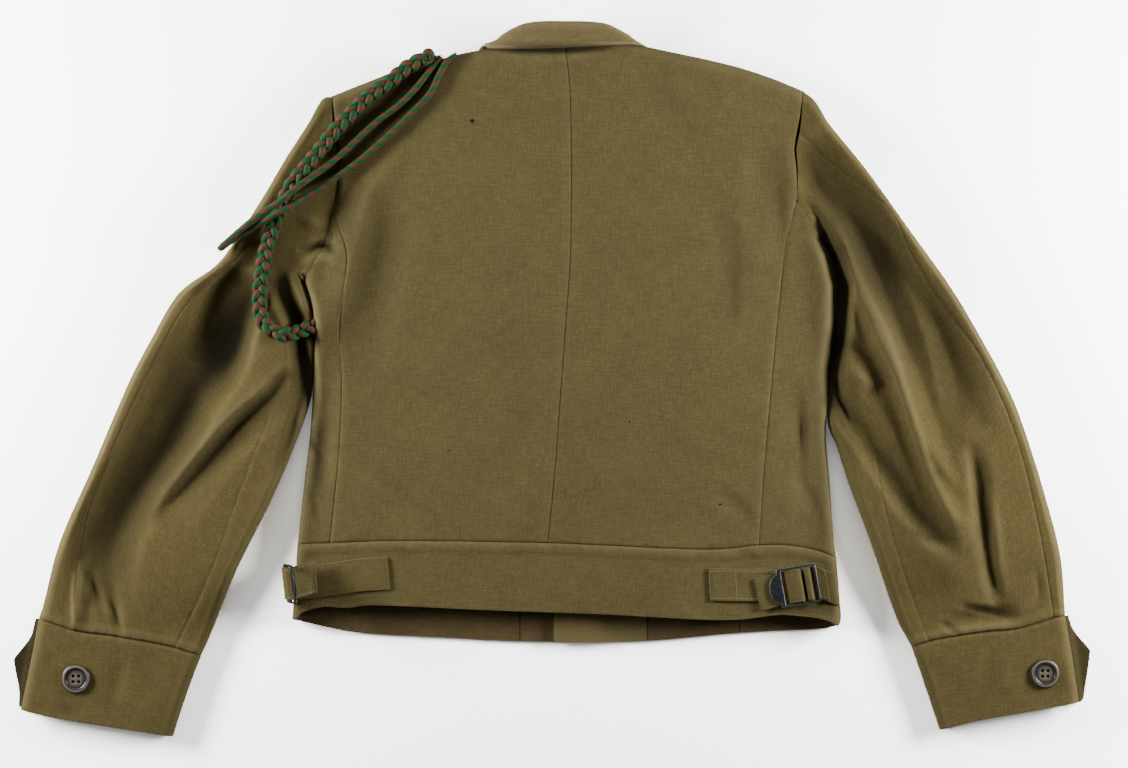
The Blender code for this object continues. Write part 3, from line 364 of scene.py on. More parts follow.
# %% Sharp creases and small puckers
CREASES = [
    # name, width on the left, width on the right, points (x, y, height)
    ("right sleeve, pocket rim", 16, 8, [
        (262, 22, 0), (270, 31, -1.6), (288, 26, -2.2), (305, 11, -2.3), (311, -4, -1.6),
        (301, -18, 0)]),
    ("right sleeve, lobe", 14, 14, [(264, 6, 0), (276, 8, 2), (288, 0, 2), (294, -14, 0)]),
    ("right sleeve, diagonal", 9, 14, [
        (259, -19, 0), (277, -30, -2), (300, -66, -2.5), (324, -95, -2.6), (342, -121, -2.2),
        (362, -142, -1.6), (378, -150, 0)]),
    ("right sleeve, crease end", 9, 9, [
        (330, -140, 0), (342, -146, -1.4), (362, -151, -2), (380, -154, 0)]),
    ("right sleeve, short", 5, 8, [
        (344, -58, 0), (350, -72, -1.6), (358, -88, -1.8), (370, -108, 0)]),
    ("right sleeve, long", 9, 8, [
        (388, -56, 0), (393, -84, -1.8), (398, -120, -1.8), (405, -170, -1.1), (412, -205, -1.5),
        (428, -222, 0)]),
    ("right sleeve, long, ridge", 9, 7, [
        (404, -96, 0), (411, -140, 3), (416, -180, 3), (424, -206, 0)]),
    ("right sleeve, by the vent", 6, 4, [(447, -172, 0), (452, -192, -2), (450, -214, 0)]),
    ("right sleeve, gather", 8, 4, [
        (374, -208, 0), (390, -213, -2.8), (410, -218, -3.4), (432, -224, 0)]),
    ("right sleeve, small gather", 5, 4, [(358, -224, 0), (368, -230, -3), (380, -238, 0)]),
    ("right sleeve, main ridge", 12, 12, [
        (235, 172, 0), (258, 154, 3), (276, 120, 4), (292, 78, 4), (312, 38, 4), (324, -10, 3),
        (340, -62, 3), (360, -108, 2), (376, -138, 0)]),
    ("right armpit, upper", 8, 8, [(231, 170, 0), (243, 155, -5), (256, 130, -6), (266, 96, 0)]),
    ("right armpit, lower", 7, 6, [(262, 6, 0), (266, -10, -5), (273, -28, -4), (280, -46, 0)]),
    ("left sleeve, overhang crest", 22, 12, [
        (-352, 84, 0), (-336, 90, 4), (-310, 98, 5), (-288, 112, 4), (-268, 136, 0)]),
    ("left sleeve, crease", 9, 8, [
        (-238, 10, 0), (-252, -3, -2), (-285, -34, -2.5), (-311, -60, -2.5), (-332, -85, -2),
        (-362, -124, 0)]),
    ("left sleeve, inner strip", 6, 8, [
        (-232, -10, 0), (-238, -32, -4), (-246, -62, -4), (-256, -90, 0)]),
    ("left armpit, dart", 6, 5, [
        (-238, 120, 0), (-226, 121, -6), (-216, 124, -7), (-206, 122, -5), (-198, 116, 0)]),
    ("left armpit, lower lobe", 9, 10, [
        (-236, 104, 0), (-223, 111, 3), (-208, 112, 3.4), (-196, 102, 0)]),
    ("left armpit, hollow", 8, 22, [
        (-201, 190, 0), (-202, 158, -3), (-206, 132, -3), (-212, 108, 0)]),
    ("left armpit, lobe", 9, 8, [(-236, 150, 0), (-222, 146, 3), (-208, 142, 0)]),
    ("left sleeve, under the cord", 7, 7, [
        (-248, 62, 0), (-236, 50, -4), (-224, 40, -4), (-214, 30, 0)]),
    ("left cuff, pucker ridge", 5, 5, [
        (-439, -168, 0), (-443, -190, 2.5), (-443, -214, 2.5), (-441, -234, 0)]),
    ("left cuff, pucker hollow", 8, 7, [
        (-436, -160, 0), (-430, -185, -2), (-420, -210, -2.2), (-411, -236, 0)]),
    ("left cuff, comma", 4, 5, [(-412, -204, 0), (-405, -215, -2.5), (-400, -236, 0)]),
    ("back, right small fold", 6, 16, [
        (160, 118, 0), (165, 98, -1.0), (168, 78, -1.2), (167, 54, 0)]),
    ("back, right soft", 24, 22, [(146, 186, 0), (160, 140, -1.6), (174, 90, -1.4), (182, 48, 0)]),
    ("back, below the shoulder", 24, 24, [
        (84, 288, 0), (104, 260, -1.4), (122, 238, -1.4), (142, 204, 0)]),
    ("back, armhole dent right", 10, 14, [
        (204, 196, 0), (212, 160, -1.8), (214, 110, -1.6), (212, 66, 0)]),
    ("side back right, dent", 8, 10, [
        (226, 0, 0), (231, -40, -2.2), (233, -78, -2), (232, -104, 0)]),
    ("side back right, lower", 10, 10, [(228, -84, 0), (240, -110, -2), (254, -146, 0)]),
    ("side back left, diagonal", 7, 7, [(-238, -42, 0), (-225, -58, -2), (-208, -78, 0)]),
    ("side back left, lower", 6, 6, [(-226, -98, 0), (-220, -120, -1.6), (-215, -142, 0)]),
    ("back, lower right", 14, 12, [(148, -94, 0), (170, -116, -1.6), (197, -146, 0)]),
    ("back, left crest", 14, 12, [
        (-141, 206, 0), (-170, 172, 2), (-178, 134, 2.4), (-192, 86, 2), (-202, 44, 0)]),
    ("back, lower left drag", 14, 14, [(-190, -60, 0), (-150, -96, -1.2), (-110, -140, 0)]),
    # This trough is also deep so that its painted shade darkens the cloth under the collar's edge.
    ("back, under the collar", 6, 8, [
        (-50, 310, 0), (-30, 308.5, -11), (4, 308.5, -15), (34, 309.5, -10), (58, 311, 0)]),
    ("left cuff, below the button", 16, 16, [(-444, -288, 0), (-450, -302, -3), (-455, -318, 0)]),
    ("left cuff, middle", 10, 26, [(-398, -250, 0), (-404, -280, -2), (-412, -318, 0)]),
    ("right cuff, middle", 22, 12, [(410, -240, 0), (405, -270, -1.3), (398, -312, 0)]),
    ("back, middle sag", 30, 30, [(-60, 80, 0), (-30, 0, -1.4), (-50, -90, 0)]),
]
print(len(CREASES), "creases")

# %% Flat facets between folds, drawn as troughs with one wide, straight side
FACETS = [
    # name, width on the left, width on the right, points (x, y, height)
    ("left sleeve, dark band's head", 21, 44, [
        (-270, 98, 0), (-279, 78, -9), (-292, 48, -14), (-300, 20, -9), (-308, 0, -3),
        (-322, -14, 0)]),
    ("left sleeve, dark band", 32, 38, [
        (-290, 56, 0), (-303, 32, -5), (-317, 10, -10), (-331, -10, -12), (-341, -30, -12.5),
        (-351, -52, -12), (-366, -76, -11.5), (-390, -110, -11), (-407, -142, -10),
        (-414, -175, -7), (-418, -216, 0)]),
    ("left sleeve, wedge", 30, 7, [
        (-240, 12, 0), (-252, -1, -3), (-265, -16, -4.5), (-287, -34, -5.6), (-311, -59, -5.6),
        (-332, -84, -5), (-355, -114, -3.5), (-370, -137, 0)]),
    ("right sleeve, dark valley", 50, 20, [
        (232, 224, 0), (240, 202, -6), (251, 176, -9), (275, 137, -11), (294, 97, -11),
        (311, 63, -8), (328, 28, -6), (343, -10, -4), (358, -50, -2), (368, -80, 0)]),
    ("right sleeve, fading valley", 34, 20, [
        (340, 110, 0), (356, 70, -4), (369, 30, -5), (378, -10, -4), (380, -50, 0)]),
    ("right sleeve, dark stripe", 26, 12, [
        (248, -12, 0), (262, -24, -3), (280, -44, -4), (302, -78, -4.5), (326, -112, -4.5),
        (350, -140, -3.6), (366, -154, -2.4), (380, -160, 0)]),
    ("right sleeve, long crease's wall", 16, 7, [
        (388, -56, 0), (392, -80, -2.6), (396, -110, -2.8), (400, -140, -1.8), (408, -180, -1.0),
        (428, -222, 0)]),
]
print(len(FACETS), "facets")

# %% Level beds under straps and buttons, and what lies under the fronts
STRAP_BED = 15.5
BUTTON_BED = 14.5
LEVEL_PLACES = {
    "strap left": (-165, -180, 30, STRAP_BED),
    "strap left, free end": (-215, -187, 30, STRAP_BED),
    "strap right": (160, -191, 30, STRAP_BED),
    "buckle right": (227, -191, 24, STRAP_BED),
    "anchor strap right": (250, -192, 20, STRAP_BED),
    "button right": (458, -273, 24, BUTTON_BED),
    "button left": (-442, -278, 24, BUTTON_BED),
}

# What lies under the fronts, as corners (x, y)
UNDERLAYS = {
    "lapel_left": [(14, 138), (-34, 238), (-105, 222), (-62, 150)],
    "lapel_right": [(20, 140), (64, 242), (135, 226), (92, 152)],
    "shoulder_loop_left": [(-205, 260), (-194, 226), (-98, 258), (-107, 299)],
    "shoulder_loop_right": [(231, 264), (220, 228), (126, 262), (134, 297)],
}
COLLAR_SHADOWS = [
    [(-36, 248), (-42, 312), (-74, 300), (-104, 270), (-102, 236)],
    [(66, 252), (66, 316), (98, 304), (132, 276), (132, 240)],
]


# %% [markdown]
# ## Height of the cloth
#
# Both layers of the garment lie between the table and a height map. Near the outline the layers
# turn towards each other on a quarter round, so they meet in the soft fold that a pressed-flat
# garment has. Along seams the cloth is pulled down by the thread and puckers a little, with the
# turned allowance showing as a low ridge on the side that it is pressed to.

# %% Distance to a run of points
WOOL = 1.6               # one layer of serge
DOUBLED = 2.6            # collar, waistband and cuffs
UNDERLAY = 2.3
COLLAR_LIFT = 6.2
OVERLAP_ROOM = 1.2
UPPER, LOWER = 1, -1
BODY_HEIGHT = 16.5
SLEEVE_HEIGHT = 21.0
CUFF_HEIGHT = 15.0
BODY_MIDDLE = 10.0       # x of the middle of the body
SLEEVE_START = (215, 50)     # distance from there, and how far the height takes to change
CUFF_TOP = (150, 90)     # the same, downwards
CUFF_INSIDE = (275, 20)      # and outwards
LEVEL_BLEND = 14.0       # round a level bed
UNDERLAY_BLEND = (6, 40)     # from an underlay's edge outwards
COLLAR_BLEND = (4, 50)
LOWEST_TROUGH = 8.0
TROUGH_BEND = 2.0        # above the lowest trough, depths flatten out
FULL_DEPTH = 15.0        # depth at which a trough gets the full painted shade
FOLD_RADIUS = 8.0
FOLD_MIDDLE = 0.45
FOLD_EDGE = 0.12         # half of the slit between the layers at a fold


def ease(t):
    t = np.clip(t, 0.0, 1.0)
    return t * t * (3 - 2 * t)


def beyond(step, distance):
    """0 up to the start of a step (start, width), 1 past its end."""
    start, width = step
    return ease((distance - start) / width)


def nearest_on(run, x, y, reach):
    """Distance to a run of points, the side it is on and the place along it, within reach."""
    best = np.full(x.shape, np.inf)
    side = np.zeros(x.shape)
    place = np.zeros(x.shape)
    for i, (a, b) in enumerate(zip(run[:-1], run[1:])):
        near = np.flatnonzero((x > min(a[0], b[0]) - reach) & (x < max(a[0], b[0]) + reach)
                              & (y > min(a[1], b[1]) - reach) & (y < max(a[1], b[1]) + reach))
        if not len(near):
            continue
        px, py = x[near], y[near]
        dx, dy = b[0] - a[0], b[1] - a[1]
        t = np.clip(((px - a[0]) * dx + (py - a[1]) * dy) / (dx * dx + dy * dy + 1e-9), 0, 1)
        gx, gy = px - (a[0] + t * dx), py - (a[1] + t * dy)
        gap = np.hypot(gx, gy)
        nearer = gap < best[near]
        spots = near[nearer]
        best[spots] = gap[nearer]
        side[spots] = (dx * gy - dy * gx)[nearer]
        place[spots] = (i + t)[nearer]
    return best, side, place


print("one seam's length:", round(LINE["armhole_right"].length), "mm")


# %% Heights of the two layers
def softened(reach, radius):
    """A distance whose point at zero is rounded off."""
    return np.minimum(np.sqrt(reach ** 2 + radius ** 2), 1)


PROFILES = {
    "round": lambda reach: (1 - reach ** 2) ** 2,
    "sharp": lambda reach: (1 - softened(reach, 0.15)) ** 2 * (1 + 0.8 * softened(reach, 0.15)),
    "facet": lambda reach: (0.3 * ease(1.12 - softened(reach, 0.11)) * ease((1 - reach) * 4)
                            + 0.76 * (1 - softened(reach, 0.08))),
}
DRAWN = ((FOLDS, "round"), (CREASES, "sharp"), (FACETS, "facet"))


def fold_sum(folds, x, y, profile):
    """Ridges and troughs added up, each with one of three profiles."""
    total = np.zeros(x.shape)
    for _, left, right, points in folds:
        points = np.asarray(points, float)
        fine = points if profile == "round" else smooth(points, 6)
        gap, side, place = nearest_on(fine, x, y, max(left, right))
        crest = np.interp(place, np.arange(len(fine)), fine[:, 2])
        reach = np.clip(gap / np.where(side > 0, left, right), 0, 1)
        total += crest * PROFILES[profile](reach)
    return total


WAVES = [
    # along x, along y, phase, height
    (0.046, 0.021, 0.4, 0.30), (-0.031, 0.058, 1.9, 0.26), (0.083, -0.049, 4.2, 0.16),
    (0.019, 0.104, 2.7, 0.15), (-0.127, 0.066, 5.5, 0.09), (0.151, 0.138, 0.9, 0.07),
    (0.212, -0.171, 3.3, 0.05), (-0.094, -0.233, 1.2, 0.05)]
WAVE_BEND, BEND_X, BEND_Y = 0.8, 0.011, 0.017    # the waves' fronts are bent a little


def unevenness(x, y):
    """The slight lumpiness of worn wool: a few slow waves in different directions."""
    total = np.zeros(x.shape)
    for kx, ky, phase, size in WAVES:
        bend = WAVE_BEND * np.sin(BEND_X * x * np.sign(ky) + BEND_Y * y + phase)
        total += size * np.sin(kx * x + ky * y + phase + bend)
    return total


def upper_height(x, y):
    sleeve = beyond(SLEEVE_START, np.abs(x - BODY_MIDDLE))
    cuff = beyond(CUFF_TOP, -y) * beyond(CUFF_INSIDE, np.abs(x))
    base = BODY_HEIGHT + (SLEEVE_HEIGHT - BODY_HEIGHT) * sleeve
    height = base + (CUFF_HEIGHT - base) * cuff
    for folds, profile in DRAWN:
        height = height + fold_sum(folds, x, y, profile)
    bend = LOWEST_TROUGH + TROUGH_BEND
    flattened = LOWEST_TROUGH + TROUGH_BEND * np.exp(np.minimum((height - bend) / TROUGH_BEND, 0))
    height = np.where(height < bend, flattened, height)
    height = height + unevenness(x, y)
    for cx, cy, radius, level in LEVEL_PLACES.values():
        share = 1 - beyond((radius, LEVEL_BLEND), np.hypot(x - cx, y - cy))
        height = height + (level - height) * share
    return height


# Painted shade: how deep a place lies in the troughs darkens the cloth's colour in the material.
def trough_depth(x, y):
    """How deep a place lies in the troughs of the upper layer, 0 to 1."""
    x, y = np.ravel(x), np.ravel(y)
    total = np.zeros(x.shape)
    for folds, profile in DRAWN:
        sunken = [fold for fold in folds if min(point[2] for point in fold[3]) < 0]
        total -= fold_sum(sunken, x, y, profile)
    return np.clip(total / FULL_DEPTH, 0, 1)


def outside(corners, x, y):
    """Distance out of a convex outline, negative inside."""
    corners = np.asarray(corners, float)
    middle = corners.mean(axis=0)
    worst = np.full(np.shape(x), -np.inf)
    for a, b in zip(corners, np.roll(corners, -1, axis=0)):
        normal = np.array([b[1] - a[1], a[0] - b[0]])
        normal /= np.linalg.norm(normal)
        if normal @ (middle - a) > 0:
            normal = -normal
        worst = np.maximum(worst, (x - a[0]) * normal[0] + (y - a[1]) * normal[1])
    return worst


def lower_height(x, y):
    height = np.zeros(np.shape(x))
    for corners in UNDERLAYS.values():
        share = 1 - beyond(UNDERLAY_BLEND, outside(corners, x, y))
        height = np.maximum(height, UNDERLAY * share)
    for corners in COLLAR_SHADOWS:
        share = 1 - beyond(COLLAR_BLEND, outside(corners, x, y))
        height = np.maximum(height, COLLAR_LIFT * share)
    return height


print("back at the shoulder blades:", upper_height(np.array([12.0]), np.array([100.0])).round(1))

# %% Folds of the outline and dips of the seams
FOLD_RUNS = []
for hand in ("left", "right"):
    outer = LINE["shoulder_" + hand].joined(LINE["sleeve_outer_" + hand])
    FOLD_RUNS += [outer.joined(LINE["cuff_outer_" + hand]).points,
                  LINE["sleeve_inner_" + hand].joined(LINE["cuff_inner_" + hand]).points,
                  LINE["body_edge_" + hand].points, LINE["band_edge_" + hand].points]

SEAM_RUNS = [
    # name, side of the turned allowance (1 left of the run, -1 right), its ridge, its dip
    ("centre_back", 1, 0.35, 0.9), ("band_seam_back", -1, 0.9, 1.0),
    ("side_seam_left", -1, 0.3, 0.7), ("side_seam_right", 1, 0.3, 0.7),
    ("armhole_left", 1, 0.3, 0.3), ("armhole_right", -1, 0.3, 0.25),
    ("underarm_left", 1, 0.2, 0.5), ("underarm_right", -1, 0.2, 0.3),
    ("hind_seam_left", -1, 0.2, 0.35), ("hind_seam_right", 1, 0.2, 0.45),
    ("cuff_seam_left", 1, 0.8, 1.1), ("cuff_seam_right", -1, 0.8, 1.1),
    ("inner_seam_left", 1, 0.15, 0.4), ("inner_seam_right", -1, 0.15, 0.4),
]
SEAM_REACH = 14.0
FAR = 99.0               # stands for any distance past the reach
RIDGE_START, RIDGE_END = (0, 2.5), (7, 3)    # of the turned edge under the cloth
SEAM_WIDTH = 1.1         # of the dip that the thread pulls
PUCKER, PUCKER_REACH = 0.18, 5.0
PUCKERS_PER_MM, PUCKER_DRIFT = 0.62, 0.11    # in radians a millimetre


def seam_height(x, y):
    total = np.zeros(x.shape)
    for name, allowance_side, ridge, dip in SEAM_RUNS:
        line = LINE[name]
        gap, side, place = nearest_on(line.points, x, y, SEAM_REACH)
        along = np.interp(place, np.arange(len(line.points)), line.run)
        ripple = np.sin(along * PUCKERS_PER_MM + 1.3 * np.sin(along * PUCKER_DRIFT))
        gap = np.where(np.isfinite(gap), gap, FAR)
        turned = np.sign(side) == allowance_side
        low_ridge = ridge * beyond(RIDGE_START, gap) * (1 - beyond(RIDGE_END, gap))
        total += np.where(turned, low_ridge, 0) - dip * np.exp(-(gap / SEAM_WIDTH) ** 1.5)
        total += PUCKER * ripple * np.exp(-(gap / PUCKER_REACH) ** 2)
    return total


def surface(x, y, layers=UPPER):
    """Height of the outer face of a layer, or of one for each column."""
    shape = np.shape(x)
    x, y = np.ravel(x).astype(float), np.ravel(y).astype(float)
    layers = np.ravel(np.broadcast_to(layers, shape))
    top = upper_height(x, y) + seam_height(x, y)
    bottom = lower_height(x, y)
    middle = bottom + FOLD_MIDDLE * (top - bottom)
    rise = np.ones(x.shape)
    for run in FOLD_RUNS:
        gap, _, _ = nearest_on(run, x, y, FOLD_RADIUS)
        rise = np.minimum(rise, np.clip(gap / FOLD_RADIUS, 0, 1))
    rise = np.sqrt(1 - (1 - rise) ** 2)
    above = middle + np.maximum((top - middle) * rise, FOLD_EDGE)
    below = middle - np.maximum((middle - bottom) * rise, FOLD_EDGE)
    return np.where(layers == UPPER, above, below).reshape(shape)


print("height at the left elbow:", surface(np.array([-330.0]), np.array([10.0])).round(1))

# %% [markdown]
# ## Finishes
#
# Serge is a twill: fine diagonal lines, fuzzy from wear, olive drab made of several dyed
# fibres. All cloth here shares the twill, the fuzz and the slow mottling of old wool. It also
# shares the crests painted paler, partly as rubbed wear and partly as painted highlight, and
# the painted shade that darkens the deep hollows. Two attributes of each mesh mark these. So
# they live in one node group. It gives a colour, a roughness and a height, and each material
# wires them to its own shader. A small class lets sockets stand in formulas.

# %% Node helpers
def feed(socket, value):
    """Link a value to a socket, or set the socket where it is a plain number or colour."""
    value = getattr(value, "socket", value)
    if isinstance(value, bpy.types.NodeSocket):
        socket.id_data.links.new(value, socket)
    elif socket.type == "RGBA" and len(value) == 3:
        socket.default_value = (*value, 1.0)
    else:
        socket.default_value = value


class Wire:
    """The value of an output socket, to reckon with in plain formulas."""

    def __init__(self, socket):
        self.socket = socket

    def math(self, operation, *values):
        made = self.socket.id_data.nodes.new("ShaderNodeMath")
        made.operation = operation
        for socket, value in zip(made.inputs, values or (self,)):
            feed(socket, value)
        return Wire(made.outputs[0])

    def clamped(self):
        self.socket.node.use_clamp = True
        return self

    def __add__(self, other):
        return self.math("ADD", self, other)

    def __radd__(self, other):
        return self.math("ADD", other, self)

    def __sub__(self, other):
        return self.math("SUBTRACT", self, other)

    def __rsub__(self, other):
        return self.math("SUBTRACT", other, self)

    def __mul__(self, other):
        return self.math("MULTIPLY", self, other)

    def __truediv__(self, other):
        return self.math("DIVIDE", self, other)


def add_node(tree, kind, inputs=(), **settings):
    made = tree.nodes.new(kind)
    for key, value in settings.items():
        setattr(made, key, value)
    for label, value in dict(inputs).items():
        feed(made.inputs[label], value)
    return made


def new_group(name, inputs, outputs=("Colour", "Roughness", "Height")):
    """A node group with named sockets, its given values and the sockets of its results."""
    group = bpy.data.node_groups.new(name, "ShaderNodeTree")
    colour, number = "NodeSocketColor", "NodeSocketFloat"
    for label, value in inputs.items():
        kind = number if isinstance(value, float) else colour
        socket = group.interface.new_socket(label, in_out="INPUT", socket_type=kind)
        socket.default_value = value if kind == number else (*value, 1.0)
    for label in outputs:
        group.interface.new_socket(label, in_out="OUTPUT",
                                   socket_type=colour if label == "Colour" else number)
    given, result = group.nodes.new("NodeGroupInput"), group.nodes.new("NodeGroupOutput")
    return group, {socket.name: Wire(socket) for socket in given.outputs}, result.inputs


def mixed(tree, factor, first, second, blend="MIX"):
    """Two colours mixed."""
    made = add_node(tree, "ShaderNodeMix", data_type="RGBA", blend_type=blend)
    for index, value in zip((0, 6, 7), (factor, first, second)):
        feed(made.inputs[index], value)
    return Wire(made.outputs[2])


def noise(tree, vector, scale, detail, rough):
    made = add_node(tree, "ShaderNodeTexNoise", {"Vector": vector, "Scale": scale,
                                                 "Detail": detail, "Roughness": rough})
    return Wire(made.outputs["Fac"])


def bands(tree, vector, direction, **inputs):
    made = add_node(tree, "ShaderNodeTexWave", {"Vector": vector}, wave_type="BANDS",
                    bands_direction=direction)
    for label, value in inputs.items():
        feed(made.inputs[label.replace("_", " ")], value)
    return Wire(made.outputs["Fac"])


def ramp(tree, value, start, end):
    """0 at start and 1 at end."""
    made = add_node(tree, "ShaderNodeMapRange",
                    {"Value": value, "From Min": start, "From Max": end})
    return Wire(made.outputs[0])


def attribute(tree, name):
    return Wire(add_node(tree, "ShaderNodeAttribute", attribute_name=name).outputs["Fac"])


def object_place(tree):
    return add_node(tree, "ShaderNodeTexCoord").outputs["Object"]


def weave_place(tree):
    return add_node(tree, "ShaderNodeUVMap", uv_map="weave").outputs["UV"]


def group_material(name, group, values, surface, bump=0.0, relief=0.0):
    """A material whose shader takes its colour, roughness and bump from a node group."""
    material = bpy.data.materials.new(name)
    material.use_nodes = True
    tree = material.node_tree
    shader = tree.nodes["Principled BSDF"]
    finish = add_node(tree, "ShaderNodeGroup", node_tree=group)
    for label, value in values.items():
        feed(finish.inputs[label], value)
    feed(shader.inputs["Base Color"], finish.outputs["Colour"])
    feed(shader.inputs["Roughness"], finish.outputs["Roughness"])
    if bump:
        bumped = add_node(tree, "ShaderNodeBump", {"Strength": bump, "Distance": relief,
                                                   "Height": finish.outputs["Height"]})
        feed(shader.inputs["Normal"], bumped.outputs["Normal"])
    for label, value in surface.items():
        feed(shader.inputs[label], value)
    return material


print("node helpers ready")

# %% The serge group: twill, fuzz and mottling
serge_group, given, result = new_group("serge_twill", {
    "Cloth Colour": (0.14, 0.112, 0.040), "Deep Colour": (0.06, 0.047, 0.016),
    "Worn And Highlight Colour": (0.22, 0.18, 0.08), "Twill Scale": 900.0, "Fuzz Scale": 700.0,
    "Mottle Amount": 0.5, "Painted Hollow Shade": 0.9})
here, weave = object_place(serge_group), weave_place(serge_group)
twill = bands(serge_group, weave, "DIAGONAL", Scale=given["Twill Scale"], Distortion=1.2,
              Detail=1.0, Detail_Scale=2.5)
fuzz = noise(serge_group, here, given["Fuzz Scale"], 4.0, 0.7)
slub = noise(serge_group, here, 150.0, 3.0, 0.6)
mottle = noise(serge_group, here, 26.0, 4.0, 0.6)
threads = 0.0
for stretch in ((560.0, 75.0, 1.0), (75.0, 560.0, 1.0)):     # warp, then weft
    drawn = add_node(serge_group, "ShaderNodeMapping", {"Vector": weave, "Scale": stretch})
    threads = noise(serge_group, drawn.outputs[0], 1.0, 3.0, 0.6) + threads
speckle = fuzz * 0.8 + twill * 0.12 - 0.46 + threads * 0.50
darker = mixed(serge_group, ramp(serge_group, speckle, 0.62, 0.30) * 0.55,
               given["Cloth Colour"], given["Deep Colour"])
lighter = mixed(serge_group, ramp(serge_group, speckle, 0.52, 0.78) * 0.4,
                darker, given["Worn And Highlight Colour"])
# Crests are painted paler: partly rubbed wear, partly painted highlight.
rub_and_highlight = mixed(serge_group, (attribute(serge_group, "crest") * (slub * 0.7 + 0.1)).clamped(),
               lighter, given["Worn And Highlight Colour"])
amount = given["Mottle Amount"]
shade = 1.0 + amount * 0.8 - amount * (mottle * 1.1 + slub * 0.5)
patched = mixed(serge_group, 1.0, rub_and_highlight, shade, "MULTIPLY")
# Painted shade: the deeper the trough, the nearer the colour comes to near-black.
painted_hollow_shade = attribute(serge_group, "hollow") * given["Painted Hollow Shade"]
feed(result["Colour"], mixed(serge_group, painted_hollow_shade, patched, (0.004, 0.003, 0.001)))
feed(result["Roughness"], 0.78 + speckle * 0.3)
feed(result["Height"], speckle + slub * 0.6)
print("serge group:", len(serge_group.nodes), "nodes")


# %% Cloth materials
def cloth_material(name, colour, deep, worn_and_highlight_colour, mottling=0.22, bump=0.5):
    values = {"Cloth Colour": colour, "Deep Colour": deep, "Worn And Highlight Colour": worn_and_highlight_colour,
              "Mottle Amount": mottling}
    surface = {"Specular IOR Level": 0.2, "Sheen Weight": 0.10, "Sheen Roughness": 0.45,
               "Sheen Tint": (0.75, 0.68, 0.48)}
    return group_material(name, serge_group, values, surface, bump, 0.0006)


serge = cloth_material("olive_serge_body", (0.150, 0.121, 0.044), (0.080, 0.060, 0.020),
                       (0.240, 0.195, 0.088))
sleeve_serge = cloth_material("olive_serge_sleeve", (0.140, 0.108, 0.036), (0.068, 0.051, 0.015),
                              (0.225, 0.182, 0.078), bump=0.38)
cuff_serge = cloth_material("olive_serge_cuff", (0.129, 0.099, 0.033), (0.062, 0.047, 0.014),
                            (0.210, 0.170, 0.073), bump=0.42)
# The collar's cloth is a lighter copy of the body's cloth: painted light on its fall.
collar_serge_lit = cloth_material("olive_serge_collar_lit", (0.230, 0.184, 0.076), (0.130, 0.100, 0.038),
                              (0.400, 0.335, 0.168))
facing = cloth_material("brown_facing", (0.142, 0.098, 0.042), (0.072, 0.048, 0.020),
                        (0.200, 0.150, 0.070), mottling=0.4)


# The button flap in the middle of the front is olive again, with dark seams in the facing.
FLAP_EDGES = (0.001, 0.089)
FLAP_COLOUR = (0.180, 0.140, 0.055)
FACING_SEAMS = (-0.030, *FLAP_EDGES, 0.175)
FACING_SEAM_COLOUR = (0.02, 0.014, 0.006)
HALF_SEAM = 0.001
STRIPE_BLUR = 0.0006     # over which a stripe's edge fades


def stripe(across, start, end):
    """1 between two places along x, 0 outside."""
    middle, half = (start + end) / 2, (end - start) / 2
    return ((half - (across - middle).math("ABSOLUTE")) / STRIPE_BLUR).clamped()


tree = facing.node_tree
base = tree.nodes["Principled BSDF"].inputs["Base Color"]
split = add_node(tree, "ShaderNodeSeparateXYZ", {"Vector": object_place(tree)})
across = Wire(split.outputs["X"])
tone = mixed(tree, stripe(across, *FLAP_EDGES), base.links[0].from_socket, FLAP_COLOUR)
for spot in FACING_SEAMS:
    seam = stripe(across, spot - HALF_SEAM, spot + HALF_SEAM) * 0.7
    tone = mixed(tree, seam, tone, FACING_SEAM_COLOUR)
feed(base, tone)
thread = plain_material("olive_thread", (0.185, 0.150, 0.068), 0.8)
light_thread = plain_material("light_thread", (0.40, 0.34, 0.19), 0.8)
print("cloth finishes:", [m.name for m in bpy.data.materials])

# %% Wool cord, woven in slanting blocks of two colours
cord_group, given, result = new_group("cord_yarn", {
    "First Colour": (0.003, 0.090, 0.023), "Second Colour": (0.155, 0.040, 0.020),
    "First Share": 0.58, "Slant": 1.35})
here, weave = object_place(cord_group), weave_place(cord_group)
split = add_node(cord_group, "ShaderNodeSeparateXYZ", {"Vector": weave})
around, along = Wire(split.outputs["X"]), Wire(split.outputs["Y"])
fluff = noise(cord_group, here, 1100.0, 3.0, 0.7)
wander = noise(cord_group, here, 420.0, 2.0, 0.5)
phase = (along + around * given["Slant"] + wander * 0.22).math("FRACT")
block = ramp(cord_group, phase, given["First Share"], given["First Share"] + 0.05)
picked = mixed(cord_group, block, given["First Colour"], given["Second Colour"])
yarn = bands(cord_group, weave, "X", Scale=3.0, Distortion=1.5)
# The yarn's grooves are painted darker: painted shade.
groove_shaded = mixed(cord_group, yarn * 0.26, picked, (0.012, 0.012, 0.008))
feed(result["Colour"], mixed(cord_group, fluff * 0.07, groove_shaded, (0.30, 0.25, 0.16)))
feed(result["Roughness"], 0.60 + fluff * 0.3)
feed(result["Height"], fluff - yarn)
cord_wool = group_material("cord_green_and_red", cord_group, {}, {"Specular IOR Level": 0.25},
                           0.5, 0.0003)
print("cord finish ready")

# %% [markdown]
# ## The shoulder cord
#
# A thick braid and a thinner doubled cord run from the shoulder line to under the arm. Both are
# made of one smooth cord, woven in slanting blocks of green and brick red. The braid is plaited
# from three runs of it, each swinging from side to side and passing over and under the others.
# They are real strands here, swept along the route, because the plait's leaves and its bumpy
# outline show against the cloth.

